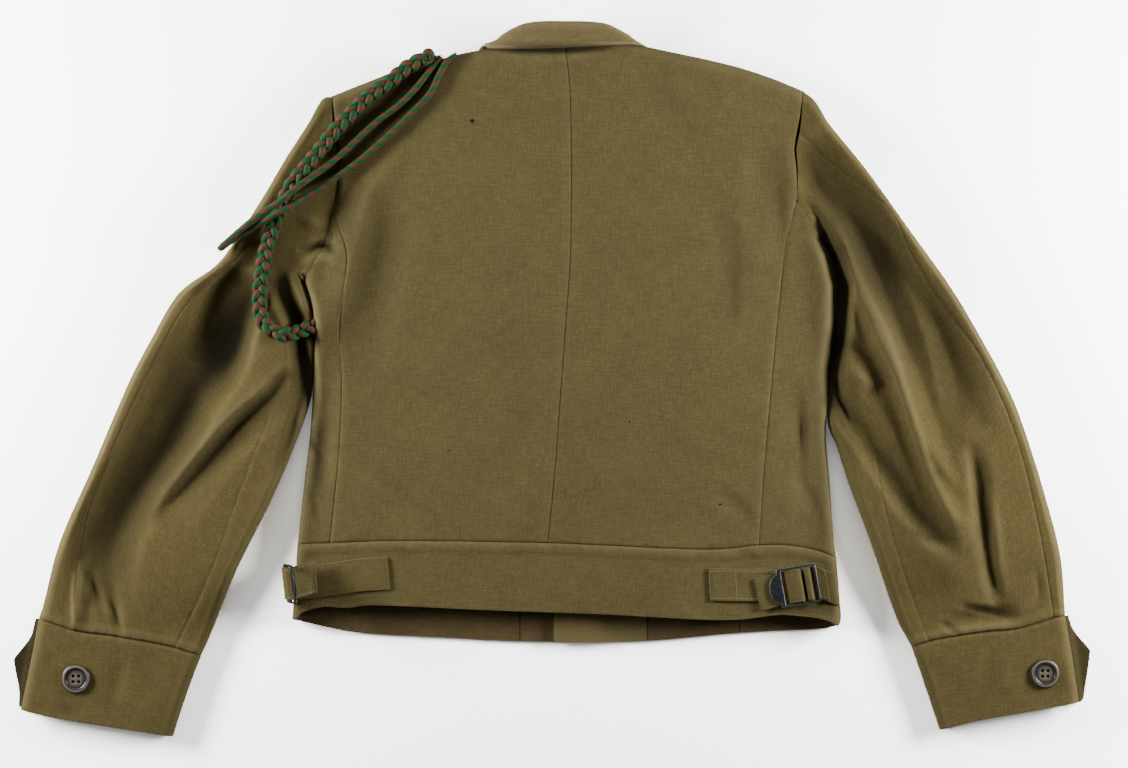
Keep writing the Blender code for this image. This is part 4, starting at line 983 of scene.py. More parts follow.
# %% Routes of the cords
PLAIT_DIAMETER = 13.0
LOOP_DIAMETER = 6.5
CORD_GAP = 0.4
CORD_SINK = 0.6          # a cord's calmed height may be this much lower
BLOCK_LENGTH = 12.0      # one green and one red block together
PLAIT_ROUTE = [
    (-118, 298, 0), (-134, 289, 0), (-150, 276, 0), (-170, 262, 0), (-186, 246, 0),
    (-202, 229, 0), (-214, 213, 0), (-229, 195, 0), (-241, 179, 0), (-248, 164, 0),
    (-256, 145, 0), (-263, 124, 0), (-267, 105, 0), (-270, 84, 0), (-270, 66, 0),
    (-266, 52, 0), (-256, 44, 1.5), (-243, 42, 3.5), (-233, 45, 1), (-226, 48, -5),
    (-220, 50, -12), (-216, 52, -14),
]
LOOP_ROUTE = [
    (-103, 299, 0), (-112, 288, 0), (-126, 270, 0), (-141, 255, 0), (-160, 241, 0),
    (-178, 225, 0), (-196, 208, 0.5), (-214, 193, 4), (-231, 180, 11.5), (-239, 173.5, 13),
    (-246, 167, 14), (-254, 161, 13), (-264, 155, 10.5), (-279, 144, 8.6), (-291, 134, 7.6),
    (-300, 126, 7), (-304.5, 122, 5.5), (-305.5, 121, 3.5), (-304, 122, 1), (-299, 126, 0),
    (-290, 132, 0), (-277, 139.5, 2.5), (-268, 144.5, 7), (-260, 149, 12), (-252, 153.5, 14),
    (-244, 158, 12.5), (-231, 167, 7), (-214, 178, 3), (-196, 190, 1), (-178, 203, 0),
    (-162, 217, 0), (-146, 231, 0), (-129, 248, 0), (-113, 265, 0), (-105, 281, 0),
    (-97, 295, 0), (-88, 301, 0),
]


def cord_line(route, diameter):
    """The cord's middle, lying on the cloth under it."""
    points = smooth(route, 2)
    ways = np.gradient(points[:, :2], axis=0)
    ways /= np.linalg.norm(ways, axis=1)[:, None] + 1e-9
    radius = diameter / 2
    under = [surface(points[:, 0] - s * radius * ways[:, 1], points[:, 1] + s * radius * ways[:, 0])
             for s in (-0.6, 0.0, 0.6)]
    height = np.max(under, axis=0) + radius + CORD_GAP + points[:, 2]
    kernel = np.array([1, 2, 3, 2, 1]) / 9.0
    padded = np.pad(height, 2, mode="edge")
    calm = np.convolve(padded, kernel, mode="valid")
    return np.column_stack([points[:, :2], np.maximum(calm, height - CORD_SINK)])


plait_line = cord_line(PLAIT_ROUTE, PLAIT_DIAMETER)
loop_line = cord_line(LOOP_ROUTE, LOOP_DIAMETER)


# %% Frames along a route, and one strand
def route_frames(points, step):
    """Even places along a route, with a sideways and an upward direction at each."""
    line = Line(smooth(points, 4))
    count = max(8, int(line.length / step))
    distances = np.linspace(0, line.length, count + 1)
    spots = line.at_distance(distances)
    ways = np.gradient(spots, axis=0)
    ways /= np.linalg.norm(ways, axis=1)[:, None]
    sideways = np.cross(ways, (0, 0, 1.0))
    for i in range(1, len(sideways)):
        if sideways[i] @ sideways[i - 1] < 0:
            sideways[i] = -sideways[i]
    sideways /= np.linalg.norm(sideways, axis=1)[:, None] + 1e-9
    upward = np.cross(sideways, ways)
    return distances, spots, sideways, upward


def add_strand(bm, middles, across, above, sides, shift=0.0):
    """A tube round its own middle line, wider across than above, with lengths in its UV map."""
    uv_layer = bm.loops.layers.uv["weave"]
    ways = np.gradient(middles, axis=0)
    ways /= np.linalg.norm(ways, axis=1)[:, None]
    run = Line(middles).run
    grid = bmesh.ops.create_grid(bm, x_segments=sides, y_segments=len(middles) - 1, size=0.5)
    verts = grid["verts"]
    spots = {}
    for vert in verts:
        around = round((vert.co.x + 0.5) * sides)
        row = round((vert.co.y + 0.5) * (len(middles) - 1))
        spots[vert] = (around, row)
    for face in {face for vert in verts for face in vert.link_faces}:
        face.smooth = True
        for loop in face.loops:
            around, row = spots[loop.vert]
            loop[uv_layer].uv = (around / sides, (run[row] + shift) / BLOCK_LENGTH)
    for vert, (around, row) in spots.items():
        way = Vector(ways[row])
        side = way.cross((0.0, 0.0, 1.0))
        side = side.normalized() if side.length > 1e-3 else way.orthogonal().normalized()
        up = side.cross(way)
        angle = 2 * math.pi * around / sides
        offset = side * (across * math.cos(angle)) + up * (above * math.sin(angle))
        vert.co = (Vector(middles[row]) + offset) * MM


def finished(name, bm, materials, stands_for=None):
    """Turn a bmesh into a piece that rides on the garment, in place of a solid or added to it."""
    mesh = bpy.data.meshes.new(name)
    bm.to_mesh(mesh)
    bm.free()
    for material in materials:
        mesh.materials.append(material)
    piece = bpy.data.objects.new(name, mesh)
    bpy.context.scene.collection.objects.link(piece)
    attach(piece, "root")
    if stands_for:
        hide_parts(stands_for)
    return piece


print("strands ready")


# %% The plait
def new_cord():
    bm = bmesh.new()
    bm.loops.layers.uv.new("weave")
    return bm


def finish_cord(name, bm, stands_for=None):
    """Make the cord a piece. The knob's rings meet themselves, and other tubes are closed."""
    bmesh.ops.remove_doubles(bm, verts=bm.verts[:], dist=0.00002)
    if stands_for:
        ends = [edge for edge in bm.edges if edge.is_boundary]
        bmesh.ops.holes_fill(bm, edges=ends, sides=0)
    bmesh.ops.recalc_face_normals(bm, faces=bm.faces[:])
    piece = finished(name, bm, [cord_wool], stands_for)
    print(name, len(piece.data.polygons), "faces")
    return piece


STRANDS = 3
PLAIT_LEAD = 33.0        # a strand is back on the same side after this length
PLAIT_SWING = (4.0, 1.95)    # of a strand, sideways and up
STRAND_RADII = (3.3, 2.7)
distances, spots, sideways, upward = route_frames(plait_line, 1.1)
bm = new_cord()
for number in range(STRANDS):
    swing = 2 * math.pi * (distances / PLAIT_LEAD + number / STRANDS)
    middles = (spots + (PLAIT_SWING[0] * np.sin(swing))[:, None] * sideways
               + (PLAIT_SWING[1] * np.sin(2 * swing))[:, None] * upward)
    add_strand(bm, middles, *STRAND_RADII, 12, shift=4.0 * number)
plait = finish_cord("shoulder_cord_plait", bm, "cord_plait")

# %% The thin cord
_, spots, _, _ = route_frames(loop_line, 1.2)
bm = new_cord()
add_strand(bm, spots, LOOP_DIAMETER * 0.45, LOOP_DIAMETER * 0.45, 16)
thin_cord = finish_cord("shoulder_cord_loop", bm, "cord_loop")

# %% The knob at the braid's upper end: three rings of cord, tilted against each other
KNOB_RADIUS, KNOB_CORD = 3.9, 2.4
KNOB_TILTS = [(0.5, 0.2), (-0.6, 0.3), (0.0, 1.2)]
knob_middle = np.array([-114.5, 300.5, float(plait_line[0][2]) + 0.4])
around = np.linspace(0, 2 * math.pi, 25)
ring = KNOB_RADIUS * np.column_stack([np.cos(around), np.sin(around), np.zeros(len(around))])
bm = new_cord()
for tilt, lean in KNOB_TILTS:
    turned = Matrix.Rotation(lean, 3, "X") @ Matrix.Rotation(tilt, 3, "Y")
    middles = np.array([turned @ Vector(spot) for spot in ring]) + knob_middle
    add_strand(bm, middles, KNOB_CORD, KNOB_CORD, 10)
knob = finish_cord("shoulder_cord_knob", bm)

# %% [markdown]
# ## Cut pieces as fine sheets
#
# A cut piece is four-sided more or less, so its rows run across between two seams, and each
# point of a plain grid is set on one of them. Rows crowd together near the seams, where the
# cloth turns sharply, and stay even in the middle. A Solidify modifier gives the wall. The
# piece keeps a UV map that follows its own lengths, so the twill turns with the sleeve.

# %% Spacing of rows and columns
SEAM_ENDS = [0.0, 0.7, 1.5, 2.8, 5.0]         # from a seam inwards
FOLD_ENDS = [0.0, 0.12, 0.6, 1.6, 3.2, 5.4, 8.0]
MOST_ENDS = 0.8          # fine ends take up at most this share of a length
GATHER_REACH = 3.0       # columns crowd within this distance of a seam
GATHERED = (-1.0, -0.5, -0.25, 0.0, 0.25, 0.5, 1.0)
BEFORE_GATHER = 0.78     # share of the other columns that lie before that seam
ROW_POINTS, SEARCH_POINTS = 48, 500      # along one row
CALM_ROWS = 12           # the seam's place is averaged over this many rows each way
OVERLAP_EDGE = (37, 25)      # the right front lies on the left one up to here along x
OVERLAP_TOP = (150, 30)


def spread(length, first, last, count, gather=None):
    """Shares of a length: fine at both ends, even between, gathered round one place."""
    room = MOST_ENDS * length / (first[-1] + last[-1])
    if room < 1:
        first, last = ([d * room for d in steps] for steps in (first, last))
    start, end = first[-1], length - last[-1]
    if gather is None:
        middle = list(np.linspace(start, end, count + 1)[1:-1])
    else:
        reach = min(GATHER_REACH, 0.2 * (end - start))
        spot = min(max(gather * length, start + 1.6 * reach), end - 1.6 * reach)
        fine = [spot + reach * d for d in GATHERED]
        rest = count + 1 - len(GATHERED)
        before = max(2, round(rest * BEFORE_GATHER))
        middle = [*np.linspace(start, fine[0], before + 1)[1:-1], *fine,
                  *np.linspace(fine[-1], end, rest - before + 1)[1:-1]]
    return np.array([*first, *middle, *(length - d for d in last[::-1])]) / length


class Patch:
    """A four-sided piece of the plan: two long sides and the ends between them."""

    def __init__(self, side_a, side_b, start, end):
        self.side_a, self.side_b, self.start, self.end = side_a, side_b, start, end

    def row(self, share_a, share_b):
        u = np.linspace(0, 1, ROW_POINTS)
        v = (share_a + share_b) / 2
        line = (1 - v) * self.start.at(u) + v * self.end.at(u)
        shift_a = self.side_a.at(share_a) - line[0]
        shift_b = self.side_b.at(share_b) - line[-1]
        return Line(line + (1 - u)[:, None] * shift_a + u[:, None] * shift_b)

    def strip(self, shares_a, shares_b, first, last, count, gather=None):
        """Rows of plan points. gather is a seam inside the piece that columns crowd round."""
        lines = [self.row(*pair) for pair in zip(shares_a, shares_b)]
        near = [None] * len(lines)
        if gather is not None:
            fine = np.linspace(0, 1, SEARCH_POINTS)
            places = [fine[np.linalg.norm(line.at(fine)[:, None, :] - gather.points[None],
                                          axis=2).min(axis=1).argmin()] for line in lines]
            window = 2 * CALM_ROWS + 1
            near = np.convolve(np.pad(places, CALM_ROWS, mode="edge"), np.ones(window) / window,
                               mode="valid")
        return np.array([line.at(spread(line.length, first, last, count, spot))
                         for line, spot in zip(lines, near)])


def raised(plan, layers=UPPER, rise=0.0):
    """Plan points set on the cloth's height, the right front also over the left one."""
    x, y = plan[..., 0], plan[..., 1]
    over_the_left = (1 - beyond(OVERLAP_EDGE, x)) * (1 - beyond(OVERLAP_TOP, y))
    return np.dstack([plan, surface(x, y, layers) + rise * over_the_left])


print("rows of a 200 mm piece:", len(spread(200, SEAM_ENDS, FOLD_ENDS, 60)))


# %% One sheet of cloth
LEAST_FILL = 0.3         # a cut fills at least this share of its rectangle
CREST_HEIGHT = 1.2       # a place this far above its neighbourhood is fully paled, as rubbed wear and painted highlight
CREST_ROUNDS = 10        # of averaging, which sets how wide the neighbourhood is


def run_lengths(points, axis):
    steps = np.linalg.norm(np.diff(points, axis=axis), axis=2)
    lengths = np.cumsum(steps, axis=axis)
    return np.concatenate([np.zeros_like(np.take(lengths, [0], axis=axis)), lengths], axis=axis)


def crests(rows):
    """Where the cloth stands above its neighbourhood, 0 to 1: the places painted paler, as rubbed
    wear and as painted highlight.
    """
    z = rows[..., 2]
    calm = z.copy()
    for _ in range(CREST_ROUNDS):
        edge = np.pad(calm, 1, mode="edge")
        calm = (edge[:-2, 1:-1] + edge[2:, 1:-1] + edge[1:-1, :-2] + edge[1:-1, 2:]
                + 2 * edge[1:-1, 1:-1]) / 6
    return np.clip((z - calm) / CREST_HEIGHT, 0, 1)


def cloth(name, rows, thickness, material, node, layers=UPPER, offset=-1.0, inside=None,
          rests_on=(), painted_highlight_edge=0, below_painted_shade=0.0):
    """A sheet through rows of places (x, y, z) in millimetres, with a wall."""
    count_v, count_u = rows.shape[:2]
    bm = bmesh.new()
    bmesh.ops.create_grid(bm, x_segments=count_u - 1, y_segments=count_v - 1, size=0.5)
    uv_layer = bm.loops.layers.uv.new("weave")
    crest_layer = bm.verts.layers.float.new("crest")
    painted_shade_layer = bm.verts.layers.float.new("hollow")
    along, down = run_lengths(rows, 1), run_lengths(rows, 0)
    crest = crests(rows)
    # The collar's free edge is painted as a full crest: painted highlight.
    if painted_highlight_edge:
        crest[:, -painted_highlight_edge:] = 1.0
    layers = np.broadcast_to(layers, count_u)
    # Painted shade in the troughs of the upper layer. The lower layer gets one even amount of
    # painted shade.
    hollow = trough_depth(rows[..., 0], rows[..., 1]).reshape(count_v, count_u)
    hollow = np.where(layers == UPPER, hollow, below_painted_shade)
    spots = {}
    for vert in bm.verts:
        column = round((vert.co.x + 0.5) * (count_u - 1))
        row = round((vert.co.y + 0.5) * (count_v - 1))
        vert.co = Vector(rows[row, column]) * MM
        vert[crest_layer] = crest[row, column]
        vert[painted_shade_layer] = hollow[row, column]
        spots[vert] = (row, column)
    bm.normal_update()
    facing_out = 0.0
    for face in bm.faces:
        layer = layers[spots[face.verts[0]][1]]
        facing_out += face.normal.z * face.calc_area() * layer
        face.smooth = True
        for loop in face.loops:
            row, column = spots[loop.vert]
            loop[uv_layer].uv = (along[row, column] * MM, down[row, column] * MM)
    if facing_out < 0:
        bmesh.ops.reverse_faces(bm, faces=bm.faces[:])
    area = sum(face.calc_area() for face in bm.faces)
    materials = [material, inside] if inside else [material]
    piece = finished(name, bm, materials, node)
    wall = piece.modifiers.new("wall", "SOLIDIFY")
    wall.thickness = thickness * MM
    wall.offset = offset
    if inside:
        wall.material_offset = 1
    width, length = float(along[:, -1].max()) * MM, float(down[-1].max()) * MM
    area = min(max(area, LEAST_FILL * width * length), width * length)
    print(name, count_v, "x", count_u, "cut", round(width * 1000), "x", round(length * 1000), "mm")
    return piece


# %% [markdown]
# ## Body
#
# The back is cut in two with a seam down the middle, and a narrow side piece runs from each
# side-back seam to the fold at the side. The fronts lie underneath, unseen from here, over the
# lapels that are turned back inside them.

# %% Backs and side backs
def seam_shares(line, corner, counts, last):
    """Rows up a long side, with one at its corner."""
    head = spread(line.length * corner, SEAM_ENDS, [0.0], counts[0]) * corner
    tail = corner + (1 - corner) * spread(line.length * (1 - corner), [0.0], last, counts[1])
    return np.concatenate([head, tail[1:]])


for hand in ("left", "right"):
    seam, armhole = LINE["side_seam_" + hand], LINE["armhole_" + hand].reversed()
    side, centre, band = seam.joined(armhole), LINE["centre_back"], LINE["band_seam_back"]
    start = band.stretch(centre.at(0), side.at(0))
    neck, shoulder = LINE["neck_" + hand], LINE["shoulder_" + hand]
    patch = Patch(centre, side, start, neck.joined(shoulder))
    shares = seam_shares(side, seam.length / side.length, (112, 42), FOLD_ENDS)
    plan = patch.strip(shares, shares, SEAM_ENDS, SEAM_ENDS, 84)
    cloth("cloth_back_" + hand, raised(plan), WOOL, serge, "back_" + hand,
          rests_on=["front_" + hand])
    edge, underarm = LINE["body_edge_" + hand], LINE["underarm_" + hand].reversed()
    side = edge.joined(underarm)
    start = band.stretch(seam.at(0), side.at(0))
    top = Line([seam.at(1), seam.at(1) + 0.01])
    corner = edge.length / side.length
    shares = seam_shares(side, corner, (96, 18), [1.2])
    plan = Patch(seam, side, start, top).strip(shares, shares, SEAM_ENDS, FOLD_ENDS, 16)
    cloth("cloth_side_back_" + hand, raised(plan), WOOL, serge, "side_back_" + hand,
          rests_on=["front_" + hand])


# %% Fronts, plain underneath
for hand in ("left", "right"):
    edge, underarm = LINE["body_edge_" + hand], LINE["underarm_" + hand].reversed()
    armhole = LINE["armhole_" + hand].reversed()
    side = edge.joined(underarm).joined(armhole)
    front, band = LINE["front_edge_" + hand], LINE["band_seam_front"]
    start = band.stretch(front.at(0), side.at(0))
    patch = Patch(front, side, start, LINE["shoulder_" + hand])
    shares = seam_shares(side, edge.length / side.length, (40, 24), FOLD_ENDS)
    plan = patch.strip(shares, shares, SEAM_ENDS, FOLD_ENDS, 44)
    rise = WOOL + OVERLAP_ROOM if hand == "right" else 0.0
    cloth("cloth_front_" + hand, raised(plan, LOWER, rise), WOOL, serge, "front_" + hand, LOWER)

# %% [markdown]
# ## Waistband
#
# The band is doubled cloth. Its back half covers the lower edge of the back, and below the
# back hem the inside of the front half shows as a darker brown strip. One sheet gets two
# finishes here: Solidify can hand its inner wall to the next material slot.

# %% Waistband
back_band = Patch(LINE["band_edge_left"], LINE["band_edge_right"],
                  LINE["band_seam_back"], LINE["band_hem_back"])
shares = spread(LINE["band_edge_left"].length, SEAM_ENDS, [0.0, 0.5, 1.4, 3.0, 5.5], 20)
plan = back_band.strip(shares, shares, FOLD_ENDS, FOLD_ENDS, 170)
cloth("cloth_waistband_back", raised(plan), DOUBLED, serge, "waistband_back",
      rests_on=["waistband_front_left", "waistband_front_right"])
seam, hem = LINE["band_seam_front"], LINE["band_hem_front"]
for hand in ("left", "right"):
    end = LINE["front_edge_" + hand].at(0)
    inner = Line([end, (end[0] - 1, -245)])
    start = seam.between(seam.nearest_share(end), 0 if hand == "left" else 1)
    finish = hem.between(hem.nearest_share(inner.at(1)), 0 if hand == "left" else 1)
    patch = Patch(inner, LINE["band_edge_" + hand], start, finish)
    plan = patch.strip(shares, shares, SEAM_ENDS, FOLD_ENDS, 70)
    rise = DOUBLED + OVERLAP_ROOM if hand == "right" else 0.0
    cloth("cloth_waistband_front_" + hand, raised(plan, LOWER, rise), DOUBLED, serge,
          "waistband_front_" + hand, LOWER, inside=facing)


# %% Lapels and shoulder loops, hidden underneath
def flat_rows(corners, columns, rows):
    a, b, c, d = (np.array(corner, float) for corner in corners)
    u, v = np.meshgrid(np.linspace(0, 1, columns), np.linspace(0, 1, rows))
    u, v = u[..., None], v[..., None]
    plan = (1 - u) * (1 - v) * a + (1 - u) * v * b + u * v * c + u * (1 - v) * d
    return np.dstack([plan, np.zeros(plan.shape[:2])])


# The left loop reaches a little past the shoulder line, as in the picture.
PEEPING = {"shoulder_loop_left": (-1.0, 4.5)}
for name, corners in UNDERLAYS.items():
    corners = np.array(corners, float) + PEEPING.get(name, (0.0, 0.0))
    cloth("cloth_" + name, flat_rows(corners, 25, 25), WOOL, serge, name, LOWER)

# %% [markdown]
# ## Collar
#
# The collar stands up from the neck seam, rolls over and falls on the back. Seen from above
# its roll catches the light as a bright edge and its fall throws the strong shadow across the
# neck. Its cloth is painted lighter than the body's, its free edge carries a painted highlight,
# and the shadow under it is deepened with painted shade. It is one strip, swept through
# sections that run from the seam over the roll to the free edge.

# %% Collar
COLLAR = [
    # seam (x, y, z), roll (x, y, z), edge (x, y, z)
    ((-46.5, 255, 6.9), (-36, 256, 4.4), (-96, 243, 1.4)),
    ((-51, 277, 6.9), (-38, 280, 4.6), (-94, 268, 1.4)),
    ((-49, 297, 7.2), (-41, 304, 5.5), (-80, 289, 1.8)),
    ((-46, 307, 9.0), (-44, 314, 9.0), (-64, 311, 6.5)),
    ((-41, 309.5, 12.5), (-44, 319, 19), (-58, 308.5, 15)),
    ((-18, 311.5, 12.4), (-24, 327.5, 32), (-26, 307.5, 21.5)),
    ((12, 312, 12.2), (12, 328.5, 36), (12, 308.5, 22.5)),
    ((44, 313.4, 12.6), (49, 327, 32), (48, 310.5, 21.5)),
    ((66, 312.5, 12.5), (69, 319, 19), (79, 311.5, 16)),
    ((71, 309, 9.0), (69, 316, 9.0), (87, 309.5, 6.5)),
    ((75, 302, 7.2), (67, 309, 5.5), (107, 294, 1.8)),
    ((78, 282, 6.9), (65, 285, 4.6), (122, 273, 1.4)),
    ((78, 257, 6.9), (64, 259, 4.4), (124, 248, 1.4)),
]
COLLAR_ROLL = 2.4        # radius of the roll, at the middle of the collar's thickness
STAND_STEPS, ROLL_STEPS, FALL_STEPS = 8, 13, 14
RIPPLE = 0.7             # height of the fall's slow waves
EDGE_LIP = [-0.2, 1.0, 1.0, -0.6]    # the edge is rolled where the collar is free


def collar_section(seam, roll, edge):
    """From the seam up the stand, round the roll and down the fall to the free edge."""
    stand, fall = roll - seam, edge - roll
    along = stand / np.linalg.norm(stand) - fall / np.linalg.norm(fall)
    along /= np.linalg.norm(along)
    across = fall - (fall @ along) * along
    across /= np.linalg.norm(across)
    centre = roll - COLLAR_ROLL * along
    turn = [centre + COLLAR_ROLL * (math.cos(t) * along + math.sin(t) * across)
            for t in np.radians(np.linspace(-90, 90, ROLL_STEPS))]
    rising = np.linspace(seam, turn[0], STAND_STEPS + 1)[:-1]
    falling = np.linspace(turn[-1], edge, FALL_STEPS + 1)[1:]
    return [*rising, *turn, *falling]


columns = [smooth([row[i] for row in COLLAR], 12) for i in range(3)]
collar_rows = np.array([collar_section(*points) for points in zip(*columns)])
share = np.linspace(0, 1, len(collar_rows))[:, None]
fall = np.clip((np.arange(collar_rows.shape[1]) - STAND_STEPS - ROLL_STEPS) / FALL_STEPS, 0, 1)
collar_rows[..., 2] += RIPPLE * np.sin(share * 55 + 4 * fall) * fall * (1 - fall)
collar_rows[:, -len(EDGE_LIP):, 2] += np.sin(math.pi * share) * np.array(EDGE_LIP)
cloth("cloth_collar", collar_rows, DOUBLED, collar_serge_lit, "collar", offset=0.0,
      rests_on=["back_left", "back_right"], painted_highlight_edge=2)

# %% [markdown]
# ## Sleeves
#
# Each sleeve is cut in two. The hind-arm seam runs down the side we see, so the under sleeve
# lies on top here and the top sleeve wraps round the outer fold to the side below. Columns
# crowd round the inner seam, which crosses the under sleeve in the picture.

# %% Sleeves
def wrapped(over, below):
    """A plan that goes round the outer fold, and the layer of each of its columns."""
    layers = np.array([UPPER] * over.shape[1] + [LOWER] * below.shape[1])
    return np.concatenate([over, below], axis=1), layers


for hand in ("left", "right"):
    armhole, underarm = LINE["armhole_" + hand], LINE["underarm_" + hand]
    outer, hind = LINE["sleeve_outer_" + hand], LINE["hind_seam_" + hand]
    inner, cuff = underarm.joined(LINE["sleeve_inner_" + hand]), LINE["cuff_seam_" + hand]
    top_share, cuff_share = armhole.nearest_share(hind.at(0)), cuff.nearest_share(hind.at(1))
    corner = underarm.length / inner.length
    shares = seam_shares(inner, corner, (16, 190), SEAM_ENDS)
    under = Patch(hind, inner, armhole.between(top_share, 1), cuff.between(cuff_share, 1))
    plan = under.strip(shares, shares, SEAM_ENDS, FOLD_ENDS, 62,
                       gather=LINE["inner_seam_" + hand])
    cloth(f"cloth_sleeve_{hand}_under", raised(plan), WOOL, sleeve_serge,
          f"sleeve_{hand}_under", rests_on=[f"sleeve_{hand}_top"])
    over = Patch(hind, outer, armhole.between(top_share, 0), cuff.between(cuff_share, 0)).strip(
        shares, shares, SEAM_ENDS, FOLD_ENDS, 14)
    below = Patch(outer, inner, armhole, cuff).strip(
        shares, shares, FOLD_ENDS[1:], FOLD_ENDS, 34)
    plan, layers = wrapped(over, below)
    cloth(f"cloth_sleeve_{hand}_top", raised(plan, layers), WOOL, sleeve_serge,
          f"sleeve_{hand}_top", layers)

# %% Cuffs
CUFF_ENDS = [0.0, 0.5, 1.2, 2.4, 4.0]
HEM_ENDS = [0.0, 0.5, 1.3, 2.6, 4.4]
OUTER_ENDS = [0.3, 0.9, 2.0, 3.5, 5.6, 8.0]
TAB_ENDS = OUTER_ENDS[:4]
TAB_POINT = 0.42         # how far down the cuff the tab's point is
TAB_SHADE = {"left": 0.8, "right": 0.55}     # painted shade on the tabs, which stick out from under the cuffs
for hand in ("left", "right"):
    outer, inner = LINE["cuff_outer_" + hand], LINE["cuff_inner_" + hand]
    seam, hem, tab = (LINE[f"{name}_{hand}"] for name in ("cuff_seam", "cuff_hem", "tab"))
    shares = spread(inner.length, CUFF_ENDS, HEM_ENDS, 26)
    over = Patch(outer, inner, seam, hem).strip(shares, shares, OUTER_ENDS, FOLD_ENDS, 52)
    start = Line(np.vstack([seam.points[::-1], tab.at(0)]))
    finish = Line(np.vstack([hem.points[::-1], tab.at(1)]))
    apex = tab.run[2] / tab.length
    tab_shares = np.interp(shares, [0, TAB_POINT, 1], [0, apex, 1])
    below = Patch(inner, tab, start, finish).strip(
        shares, tab_shares, FOLD_ENDS[1:], TAB_ENDS, 50)
    plan, layers = wrapped(over, below)
    cloth("cloth_cuff_" + hand, raised(plan, layers), DOUBLED, cuff_serge, "cuff_" + hand,
          layers, below_painted_shade=TAB_SHADE[hand])

# %% [markdown]
# ## Straps and slide buckles
#
# An adjusting strap is sewn to the band on each side, passes round a bar of a steel slide and
# comes back, and a short strap holds the slide's other bar. On the left the slide has tipped
# up on its edge. The straps are doubled cloth, swept through rows of places.

# %% Straps
STRAP_WIDTH = 30.0
STRAP_THICKNESS = 1.4
LYING = 1.1              # of a strap's middle over its bed
BUCKLE_LENGTH = 37.0
BUCKLE_WIDTH = 36.5
BUCKLE_THICKNESS = 2.0
BUCKLE_CORNER, CORNER_POINTS = 2.2, 5
SLOT_WIDTH = 32.5
SLOTS = [(-14.5, 0.25), (2.25, 8.75), (10.75, 16.0)]     # from x to x
STRAP_BAR, ANCHOR_BAR = 1.25, 9.75       # x of the bars' middles
THUMB_TAB = (8.5, 13.0)      # how far it reaches, and half its width
BAR_WRAP = 2.5
WELT, HEM_DROP = 0.16, 0.12      # of a strap's sewn edges
BUCKLES = {
    # middle, turn and lean in degrees
    "left": ((-243.0, -189.5, 21.0), 186.0, 73.0),
    "right": ((228.5, -191.0, STRAP_BED + 5.0), 10.0, 0.0),
}


def buckle_frame(hand):
    centre, turn, lean = BUCKLES[hand]
    return (Matrix.Translation(centre) @ Matrix.Rotation(math.radians(turn), 4, "Z")
            @ Matrix.Rotation(math.radians(lean), 4, "Y"))


def round_bar(hand, bar, turn, start, end, count=5):
    x, y, z = buckle_frame(hand) @ Vector((bar, 0, 0))
    return [(x + BAR_WRAP * math.cos(t), y, z + BAR_WRAP * math.sin(t), turn)
            for t in np.radians(np.linspace(start, end, count))]


def ribbon(name, rows, node):
    path = smooth([row[:3] for row in rows], 6)
    turns = np.interp(np.linspace(0, len(rows) - 1, len(path)), range(len(rows)),
                      [math.radians(row[3]) for row in rows])
    across = np.stack([-np.sin(turns), np.cos(turns), np.zeros(len(path))], axis=-1)
    ways = np.gradient(path, axis=0)
    ways /= np.linalg.norm(ways, axis=1)[:, None]
    normals = np.cross(ways, across)
    shares = np.array([-1, -0.97, -0.9, -0.8, -0.68, -0.34, 0, 0.34, 0.68, 0.8, 0.9, 0.97, 1])
    profile = (WELT * np.exp(-((np.abs(shares) - 0.9) / 0.08) ** 2)
               - HEM_DROP * (np.abs(shares) > 0.99))
    points = (path[:, None, :] + (shares * STRAP_WIDTH / 2)[None, :, None] * across[:, None, :]
              + profile[None, :, None] * normals[:, None, :])
    return cloth(name, points, STRAP_THICKNESS, serge, node, offset=0.0), path, across, normals


bed, level = STRAP_BED + LYING, BUCKLES["right"][0][2]
free = STRAP_BED + 2.95
STRAP_ROWS = {
    "strap_right": [
        (146.5, -190.5, bed, 3), (176, -191, bed, 3), (196, -191, bed, 4),
        (213, -191.5, bed, 7), (221, -191, bed + 0.6, 9),
        *round_bar("right", STRAP_BAR, 10, -90, 90),
        (223, -192, level + 1.4, 10), (216, -193.5, free + 0.4, 11), (212, -194, free, 11),
        (204, -196.5, free, 12), (190.5, -200, free, 13)],
    "buckle_strap_right": [
        (264.4, -195, bed - 1.4, 8), (261.5, -194.3, bed - 0.3, 8), (256, -192.5, bed, 9),
        (246, -189.5, bed, 10), (241, -188.9, bed + 0.3, 10),
        *round_bar("right", ANCHOR_BAR, 10, 270, 0, 7),
        (241.7, -188.8, level - 1.6, 10), (245, -188.5, level - 2.15, 10),
        (250, -189.5, level - 2.15, 9), (256, -192, level - 2.15, 9)],
    "strap_left": [
        (-151.5, -180, bed, 5), (-180, -182, bed, 5), (-206, -186, bed, 6),
        (-226, -188.5, bed, 6), (-236, -189.3, bed + 0.2, 6),
        *round_bar("left", STRAP_BAR, 6, -90, -270),
        (-237, -188, 23.4, 6), (-226, -185, 24.6, 5), (-218, -182, 26.5, 4)],
    "buckle_strap_left": [
        (-241.6, -190, 7.3, -4), (-242.4, -190, 7.8, 0), (-243.2, -190, 9.6, 6),
        *round_bar("left", ANCHOR_BAR, 6, 10, 190, 5),
        (-249.6, -190, 9.4, 6), (-248.6, -190, 7.3, 6), (-246.5, -190, 6.9, 6),
        (-244.6, -190, 6.2, 6)],
}
STRAP_PATHS = {}
for name, rows in STRAP_ROWS.items():
    _, *STRAP_PATHS[name] = ribbon("cloth_" + name, rows, name)

